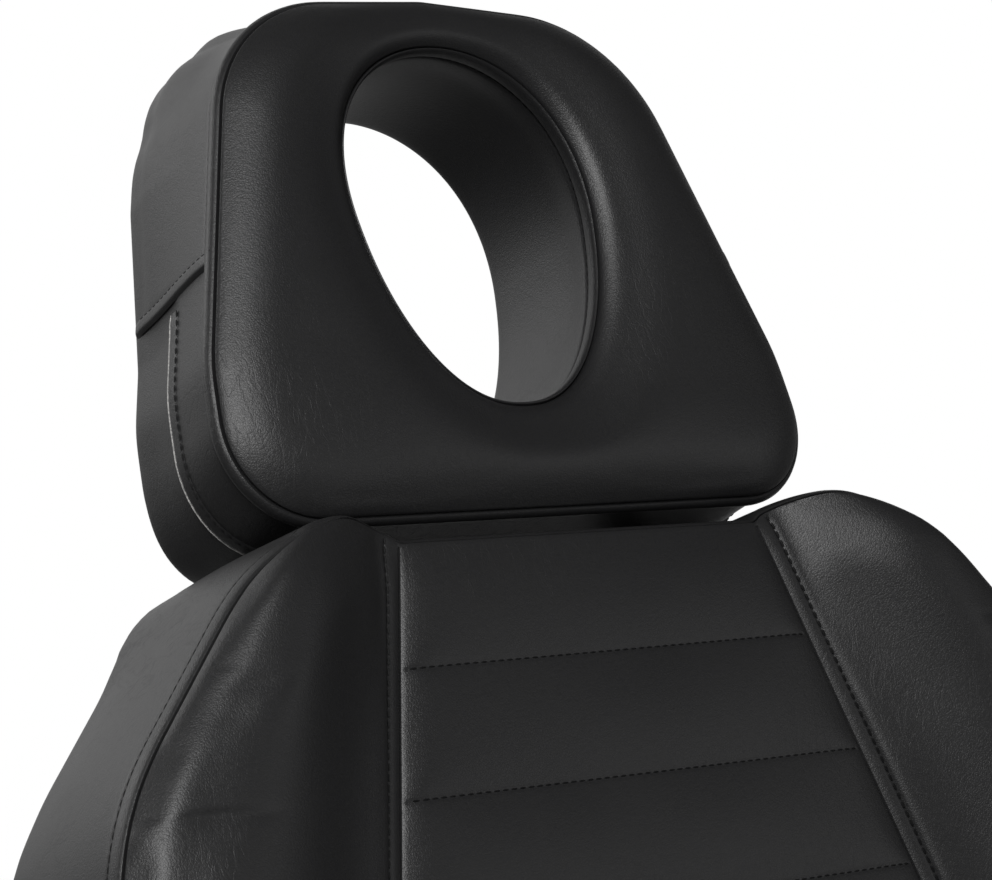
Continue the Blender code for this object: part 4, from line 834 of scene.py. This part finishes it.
def sew_cover(name, bm, place, body, node, room):
    """Swells a closed cover, sinks its seams, stitches it and puts it in place over its CAD node."""
    bmesh.ops.recalc_face_normals(bm, faces=bm.faces)
    swell(bm, room)
    bm.normal_update()
    thread, staples = bmesh.new(), bmesh.new()
    lay_stitches(thread, sewn_runs(bm, TOPSTITCH), 0.0001)
    lay_stitches(thread, sewn_runs(bm, CHANNEL), 0.0002)
    lay_stitches(staples, sewn_runs(bm, STAPLED), -0.0003, STAPLE_PITCH, one_staple)
    for kind, half, depth in ((SEAM, 0.0012, 0.0024), (TOPSTITCH, 0.0014, 0.0011), (CHANNEL, 0.0012, 0.0004)):
        line = bm.edges.layers.int["line"]
        made = break_edges(bm, [edge for edge in bm.edges if edge[line] == kind], half, 2)
        groove = set(made["faces"])
        bm.normal_update()
        middle = [vert for vert in made["verts"] if all(face in groove for face in vert.link_faces)]
        for vert, normal in [(vert, vert.normal.copy()) for vert in middle]:
            vert.co -= normal * depth
    for sewn in (bm, thread, staples):
        bmesh.ops.transform(sewn, matrix=place, verts=sewn.verts)
    cover = fit_piece(name + "_cover", bm, [black_leather, black_felt], body, "black_leather", node)
    smooth = cover.modifiers.new("smooth", "SUBSURF")
    smooth.levels = smooth.render_levels = 1
    smooth.use_limit_surface = False
    fit_piece(name + "_stitches", thread, [black_thread], body, "black_leather")
    if staples.verts:
        fit_piece(name + "_staples", staples, [bright_steel], body, "bright_steel")
    else:
        staples.free()


def open_rim(bm):
    return [edge for edge in bm.edges if edge.is_boundary]


def close_under(bm, rim, middle=0.0):
    """Closes a cover behind its board with dust cloth, stapled at its edge and drawn to its middle line."""
    line = bm.edges.layers.int["line"]
    for edge in rim:
        edge[line] = STAPLED
    rows = [vert.co.y for edge in rim for vert in edge.verts]
    half = max(abs(vert.co.x - middle) for edge in rim for vert in edge.verts)
    for share in (0.25, 0.5, 1.0):
        ring, edges, rim = extrude_rim(bm, rim)
        for edge in edges:
            edge[line] = 0
            for face in edge.link_faces:
                face.material_index = 1
        for vert in ring:
            inmost = Vector((middle, min(max(vert.co.y, min(rows) + half), max(rows) - half), vert.co.z))
            vert.co = vert.co.lerp(inmost, share)
    bmesh.ops.remove_doubles(bm, verts=ring, dist=0.00005)


def channel_lines(first, last):
    count = int((last - first) / CHANNEL_PITCH - 0.35)
    return [first + CHANNEL_PITCH * (number + 1) for number in range(count)]


seat_low, seat_high = -0.265, 0.205
seat_place = Matrix.Translation((0, 0, 0.515))
seat_lines = channel_lines(seat_low, seat_high)
seat_rows = cover_rows(seat_low, seat_high, seat_lines, (0.045, 0.045))
seat_width = width_along([(0.287, seat_low, 0.045), (0.287, seat_high, 0.045)])
bm = channel_front(seat_rows, seat_width, lambda row: 0.165, 0.020, seat_lines, 0.0, (seat_low, seat_high))
close_under(bm, hang_gusset(bm, open_rim(bm), pad_gusset(), COVER_BACK))
sew_cover("seat", bm, seat_place, "seat", "seat_cushion", 0.004)

# Back pad: foam on a plywood board, made as the seat's. Its shoulders slant to a narrow top and its bolsters
# run down both sides, with the channels counted from the top seam.
back_low, back_high = 0.030, 0.690
back_peak = 0.008
back_lines = [back_low + back_high - place for place in channel_lines(back_low, back_high)]
back_rows = cover_rows(back_low, back_high, back_lines, (0.055, 0.030), 0.008)
back_corners = [(0.264, back_low, 0.055), (0.299, back_high - 0.1285, 0.1415)]
back_corners.append((0.1805, back_high + back_peak, 0.120))


def back_panel(row):
    """Half the panel's width: it widens below the shoulders, then runs straight after a soft turn."""
    down = min(max(back_high - row, 0.0), 0.260)
    return 0.106 + 0.255 * (down - max(down - 0.200, 0.0) ** 2 / 0.120)


bm = channel_front(
    back_rows, width_along(back_corners), back_panel, 0.020, back_lines, back_peak, (back_low,)
)
close_under(bm, hang_gusset(bm, open_rim(bm), pad_gusset(-0.004, 0.009), COVER_BACK))
sew_cover("back", bm, back_place, "back", "back_cushion", 0.004)

BOARD_THICK = 0.015


def ply_board(bm, level, place):
    """Thickens a flat sheet forwards into a board with broken edges, and puts it in place."""
    made = bmesh.ops.extrude_face_region(bm, geom=list(bm.faces))["geom"]
    raised = [item for item in made if isinstance(item, bmesh.types.BMVert)]
    bmesh.ops.translate(bm, vec=(0, 0, BOARD_THICK), verts=raised)
    bmesh.ops.recalc_face_normals(bm, faces=bm.faces)
    break_edges(bm, sharp_edges(bm, 60), 0.0006, 1, False)
    bmesh.ops.transform(bm, matrix=place @ Matrix.Translation((0, 0, level)), verts=bm.verts)
    return bm


half_board = right_side(
    [(x - 0.006, y - math.copysign(0.0105, y - 0.3), radius) for x, y, radius in back_corners]
)
bm = bmesh.new()
sheet = [bm.verts.new((x, y, 0.0)) for x, y in half_board]
sheet += [bm.verts.new((-x, y, 0.0)) for x, y in reversed(half_board)]
bmesh.ops.contextual_create(bm, geom=[bm.edges.new(pair) for pair in zip(sheet, sheet[1:] + sheet[:1])])
board = ply_board(bm, BOARD_BACK, back_place)
fit_piece("back_plywood", board, [board_finish["back_board"]], "back", "plywood", "back_board")


# Headrest pad: a rounded foam block on its own board in the same leather cloth, with an egg-shaped face hole.
# The hole has a sewn liner, and the upper gusset is a hood whose hem is folded and sewn across the sides.
def backing_and_edge_highlight():
    """The pale knitted backing of the coated cloth along a cut edge, and a painted highlight on that edge."""
    finish, shader, spot = new_finish("raw_cloth")
    fuzz = spot.noise(900.0, 2.0)
    # Pale: the knitted backing's own colour, and a painted highlight along the edge.
    fuzz.dye(shader, (0.3, (0.10, 0.10, 0.10)), (0.75, (0.34, 0.33, 0.32)))
    (0.85 + fuzz * 0.1).feed(shader, "Roughness")
    return finish


raw_cloth = backing_and_edge_highlight()
HEAD_SPOKES = 224
HEAD_RINGS = 18
HEAD_THICK = 0.094
HEAD_BACK = HEAD_THICK + COVER_OVER_BOARD
HEAD_LENGTH = 0.265
HEM_AT = 0.1275
head_place = back_place @ Matrix.Translation((0, 0.7083, 0.024)) @ Matrix.Rotation(head_lean, 4, "X")
hole_centre = Vector((0.0, 0.1465))
head_half = [(0, 0, 0), (0.1755, 0, 0.045), (0.169, 0.075, 0.080), (0.1175, HEAD_LENGTH - 0.007, 0.080)]
head_half = rounded([*head_half, (0, HEAD_LENGTH, 0)])
head_seam = head_half + [Vector((-x, y)) for x, y in reversed(head_half[1:-1])]
hole_seam = []
for degree in range(360):
    turn = math.radians(degree)
    power = 2 / 2.3 if turn > math.pi else 1.0
    up = math.copysign(abs(math.sin(turn)) ** power, math.sin(turn))
    side = math.copysign(abs(math.cos(turn)) ** power, math.cos(turn))
    hole_seam.append(hole_centre + Vector((0.072 * side * (1 + 0.177 * up), 0.0945 * up)))


def reach(outline, turn):
    """Where a spoke from the hole's centre meets a closed outline."""
    spoke = Vector((math.cos(turn), math.sin(turn)))
    for start, end in zip(outline, outline[1:] + outline[:1]):
        near, far = start - hole_centre, end - hole_centre
        if spoke.cross(near) <= 0 < spoke.cross(far) and spoke.dot(near + far) > 0:
            share = spoke.cross(near) / (spoke.cross(near) - spoke.cross(far))
            return hole_centre + near.lerp(far, share)


def spoke_number(spot):
    """Which spoke a place lies on, counted round the origin."""
    return round(math.atan2(spot.y, spot.x) * HEAD_SPOKES / (2 * math.pi)) % HEAD_SPOKES


def spoke_ring(bm, spots):
    """Adds a ring of edges, with one of the given places on each spoke."""
    for vert in bmesh.ops.create_circle(bm, segments=HEAD_SPOKES, radius=1)["verts"]:
        vert.co = spots[spoke_number(vert.co)].to_3d()


def distance(spot, seam):
    """How far a place is from the nearest point of a seam."""
    return float(np.min(np.hypot(*(seam - tuple(spot)).T)))


bm = bmesh.new()
bm.edges.layers.int.new("line")
seams = []
for outline in (head_seam, hole_seam):
    turns = (2 * math.pi / HEAD_SPOKES * number + 1e-5 for number in range(HEAD_SPOKES))
    seams.append([reach(outline, turn) for turn in turns])
    spoke_ring(bm, seams[-1])
bmesh.ops.bridge_loops(bm, edges=list(bm.edges))
spokes = [edge for edge in bm.edges if not edge.is_boundary]
bmesh.ops.subdivide_edges(bm, edges=spokes, cuts=HEAD_RINGS - 1)
seam_points = [np.array([tuple(point) for point in seam]) for seam in seams]
for vert in bm.verts:
    number = spoke_number(vert.co.xy - hole_centre)
    outer, inner = seams[0][number], seams[1][number]
    ring = round((vert.co.xy - outer).length / (inner - outer).length * HEAD_RINGS)
    share = 0.3 * ring / HEAD_RINGS + 0.7 * (1 - math.cos(math.pi * ring / HEAD_RINGS)) / 2
    spot = outer.lerp(inner, share)
    from_seam, from_hole = (distance(spot, seam) for seam in seam_points)
    if ring in (0, HEAD_RINGS):
        height = 0.0
    else:
        beside_hole = 0.55 * roll(from_hole, 0.009) + 0.45 * ease(from_hole / 0.035)
        height = 0.0115 * roll(from_seam, EDGE_ROLL) * beside_hole
        height += 0.006 * (1 - (spot.x / 0.17) ** 2) * ease(from_seam / 0.05) * ease(from_hole / 0.05)
    vert.co = (spot.x, spot.y, height)
bmesh.ops.recalc_face_normals(bm, faces=bm.faces)
if sum(face.normal.z for face in bm.faces) < 0:
    bmesh.ops.reverse_faces(bm, faces=bm.faces)


def lean(start, outward):
    """How far the gusset's back edge stands out from the seam: most along the top, less along the bottom, and
    inwards at the lower sides."""
    rise = outward.y
    top = 0.0115 * ease((rise - 0.52) / 0.42) + 0.0085 * ease((rise - 0.91) / 0.09)
    bottom = 0.006 * min(rise, 0.0) ** 2
    return top + bottom + float(np.interp(start.y, (0.11, 0.19), (-0.0085, 0.0))) * outward.x ** 2


def lean_share(drop):
    """How much of its lean the gusset has at this drop from the seam."""
    return ease((drop - TOPSTITCH_DROP) / 0.075)


def hood(start, outward):
    """How far the hood's double cloth stands out above the hem."""
    return 0.0012 * ease((start.y - HEM_AT + 0.004) / 0.008)


def leaning(drop, more=0.0, hooded=0.0):
    """A ring at this drop on the leaning gusset, standing out further where it is hooded."""
    def stand(start, outward):
        return lean_share(drop) * lean(start, outward) + hooded * hood(start, outward) + more
    return drop, 0, stand


def folded(width, back=0.0):
    """How far the cover is folded onto the board's back: less where the board is narrow beside the hole."""
    def inwards(start, outward):
        gap = max(distance(start.xy, seam) for seam in seam_points)
        return back * lean(start, outward) - min(width, 0.006 + 0.25 * (gap - 0.006), 0.45 * gap)
    return inwards


head_rings = [(0.002, 0, 0.0020), (0.0045, 0, 0.0031), (0.007, 0, 0.0023)]
head_rings += [(TOPSTITCH_DROP, 0, hood), (FOLD_DROP, 0, hood)]
head_rings += [leaning(drop, 0.0, 1.0) for drop in (0.018, 0.026, 0.034, 0.0405)]
head_rings += [leaning(drop, -0.001, 2.0) for drop in (0.0475, 0.055, 0.064, 0.073)]
back_edge = ((0.081, 0.0006), (0.087, 0.0008), (0.0912, 0.0013), (0.0936, 0.0028))
head_rings += [leaning(drop, -inset) for drop, inset in back_edge]
head_rings += [(HEAD_BACK, 0, folded(width, 1)) for width in (0.006, 0.016, 0.026)]
head_rings.append((0.090, 0, folded(0.027, 1)))
liner_rings = [(-0.0009, 0, 0.0011), (0.0006, 0, 0.0021), (0.003, 0, 0.0024), (0.006, 0, 0.0022)]
liner_rings += [(TOPSTITCH_DROP, 0, 0.0006), (FOLD_DROP, 0, 0.0010), (0.0165, 0, 0.0004)]
liner_rings += [(drop, 0, -0.0012) for drop in (0.024, 0.034, 0.046, 0.060, 0.073)]
liner_rings += [(0.083, 0, -0.0013), (0.089, 0, -0.0015), (0.0925, 0, -0.0022), (0.0941, 0, -0.0036)]
liner_rings += [(HEAD_BACK, 0, folded(0.008)), (HEAD_BACK, 0, folded(0.018)), (0.090, 0, folded(0.019))]
outer_rim, inner_rim = [], []
for edge in open_rim(bm):
    spot = edge.verts[0].co
    outside = (spot.xy - hole_centre).length > 0.108 or abs(spot.x) > 0.09
    (outer_rim if outside else inner_rim).append(edge)
rim = hang_gusset(bm, outer_rim, head_rings, 0.0)
rim += hang_gusset(bm, inner_rim, liner_rings, 0.0)
bmesh.ops.bridge_loops(bm, edges=rim)
sew_cover("headrest", bm, head_place, "headrest", "headrest_cushion", 0.003)

bm = bmesh.new()
for seam, inset in zip(seams, (0.021, -0.0065)):
    spokes = [spot - hole_centre for spot in seam]
    spoke_ring(bm, [hole_centre + spoke * (1 - inset / spoke.length) for spoke in spokes])
bmesh.ops.bridge_loops(bm, edges=list(bm.edges))
board = ply_board(bm, -HEAD_THICK, head_place)
fit_piece(
    "headrest_plywood", board, [board_finish["headrest_board"]], "headrest", "plywood", "headrest_board"
)


def lay_band(bm, path, width, thick):
    """A flat band along a path, each place given as its middle, its way across and its way up. It thins out
    at its edges and ends."""
    last = len(path) - 1
    band = bmesh.ops.create_grid(bm, x_segments=last, y_segments=8, size=1)["verts"]
    for vert in band:
        number = round((vert.co.x + 1) / 2 * last)
        middle, across, up = path[number]
        share = vert.co.y
        full = thick * math.sqrt(1 - abs(share) ** 4) * ease((0.4 + min(number, last - number)) / 1.4)
        vert.co = middle + across * (share * width / 2) + up * (full - 0.0004)
    faces = list({face for vert in band for face in vert.link_faces})
    bmesh.ops.recalc_face_normals(bm, faces=faces)
    bmesh.ops.solidify(bm, geom=faces, thickness=0.0008)


def along_seam(number):
    """A place on the headrest's outer seam, with its direction outwards."""
    ahead = seams[0][(number + 1) % HEAD_SPOKES] - seams[0][number - 1]
    return seams[0][number].to_3d(), Vector((ahead.y, -ahead.x, 0.0)).normalized()


BAND_WIDE = 0.0085
hem_drops = (0.0, 0.081, 0.087, 0.0912, 0.0936)
hem_stands = (0.0008, 0.0002, -0.0008, -0.0020, -0.0040)
deep = Vector((0.0, 0.0, -1.0))
bands, raw_edge_and_highlight, thread = bmesh.new(), bmesh.new(), bmesh.new()
hem_stitches = []
for _, sign in SIDES:
    hem_end = Vector((sign * 0.155, HEM_AT))
    number = min(range(HEAD_SPOKES), key=lambda item: (seams[0][item] - hem_end).length)
    side, out = along_seam(number)
    up_side = Vector((-out.y, out.x, 0.0)) * sign
    hem = []
    for drop in np.linspace(0.0015, 0.0935, 18).tolist():
        stand = float(np.interp(drop, hem_drops, hem_stands)) + lean_share(drop) * lean(side, out)
        hem.append((side + deep * drop + out * stand, up_side, out))
    lay_band(bands, hem, BAND_WIDE, 0.0021)
    hem_stitches.append([(middle + up_side * 0.0027 + out * 0.0015, out) for middle, _, out in hem[:-2]])
lower = [number for number in range(HEAD_SPOKES) if seams[0][number].y < HEM_AT - 0.004]
first = next(number for number in lower if number - 1 not in lower)
binding = [along_seam((first + step) % HEAD_SPOKES) for step in range(len(lower))]
binding = [(spot + out * lean_share(0.0425) * lean(spot, out), out) for spot, out in binding]
lay_band(bands, [(spot + deep * 0.0440, deep, out) for spot, out in binding], BAND_WIDE, 0.0011)
# A thin pale strip under the binding: the cloth's raw edge, and a painted highlight along the binding's lower
# edge.
cut = [(spot + deep * 0.0487 - out * 0.0002, deep, out) for spot, out in binding]
lay_band(raw_edge_and_highlight, cut, 0.0009, 0.0009)
hem_stitches.append([(spot + deep * 0.0412 + out * 0.0008, out) for spot, out in binding])
lay_stitches(thread, hem_stitches, 0.0002)
for made, name, finish in (
    (bands, "headrest_bands", black_leather), (raw_edge_and_highlight, "headrest_raw_edge", raw_cloth),
    (thread, "headrest_band_stitches", black_thread),
):
    bmesh.ops.transform(made, matrix=head_place, verts=made.verts)
    fit_piece(name, made, [finish], "headrest", "black_leather")

# Leg pads: two split pads of the same make on plywood boards, with low bolsters and a channelled panel. Each
# hangs from the front of the seat on its own hinge.
LEG_X = 0.145
leg_low, leg_high = 0.032, 0.492
leg_lines = channel_lines(leg_low, leg_high)
leg_rows = cover_rows(leg_low, leg_high, leg_lines, (0.040, 0.040))
leg_width = width_along([(0.132, leg_low, 0.040), (0.132, leg_high, 0.040)])
leg_turn = Matrix.Rotation(math.pi, 4, "Z") @ Matrix.Rotation(-leg_tilt, 4, "X")
leg_place = Matrix.Translation((0, -0.297, 0.515)) @ leg_turn
for side, sign in SIDES:
    middle = -sign * LEG_X
    bm = channel_front(leg_rows, leg_width, lambda row: 0.080, 0.010, leg_lines, 0.0, (leg_low,), middle)
    close_under(bm, hang_gusset(bm, open_rim(bm), pad_gusset(), COVER_BACK), middle)
    sew_cover("leg_" + side, bm, leg_place, "leg_" + side, "leg_cushion_" + side, 0.003)

# Arm pads: narrow foam pads with rounded corners in the same leather cloth, with no channels. Their small
# boards swing on the arm posts.
arm_low, arm_high = -0.240, 0.120
arm_width = width_along([(0.050, arm_low, 0.035), (0.050, arm_high, 0.035)])
arm_rows = cover_rows(arm_low, arm_high, [], (0.035, 0.035))
arm_columns = [0.0, 0.25, 0.45, 0.62, 0.76, 0.87, 0.95, 1.0]
arm_rings = [(0.003, 0, 0.001), (0.006, 0, 0.001), (TOPSTITCH_DROP, 0, 0.0), (FOLD_DROP, 0, 0.0)]
arm_rings += [(FOLD_DROP, share, 0.002 * math.sin(math.pi * share)) for share in (0.2, 0.4, 0.6, 0.8)]
arm_edge = ((0.93, 0.001), (0.98, 0.003), (1.0, 0.006), (1.0, 0.0105))
arm_rings += [(FOLD_DROP, share, -inset) for share, inset in arm_edge]
for side, sign in SIDES:
    bm = bmesh.new()
    bm.edges.layers.int.new("line")
    bmesh.ops.create_grid(bm, x_segments=14, y_segments=len(arm_rows) - 1, size=1)
    for vert in bm.verts:
        column = round(vert.co.x * 7)
        row = arm_rows[round((vert.co.y + 1) / 2 * (len(arm_rows) - 1))]
        x = arm_columns[abs(column)] * arm_width(row)
        from_end = min(row - arm_low, arm_high - row)
        crown = 0.008 * roll(from_end, EDGE_ROLL) * roll(arm_width(row) - x, EDGE_ROLL)
        vert.co = (math.copysign(x, column), row, 0.046 + crown)
    close_under(bm, hang_gusset(bm, open_rim(bm), arm_rings, -COVER_OVER_BOARD))
    arm_place = Matrix.Translation((sign * ARM_X, ARM_Y, 0.712))
    sew_cover("arm_" + side, bm, arm_place, "arm_top_" + side, "arm_pad_" + side, 0.002)
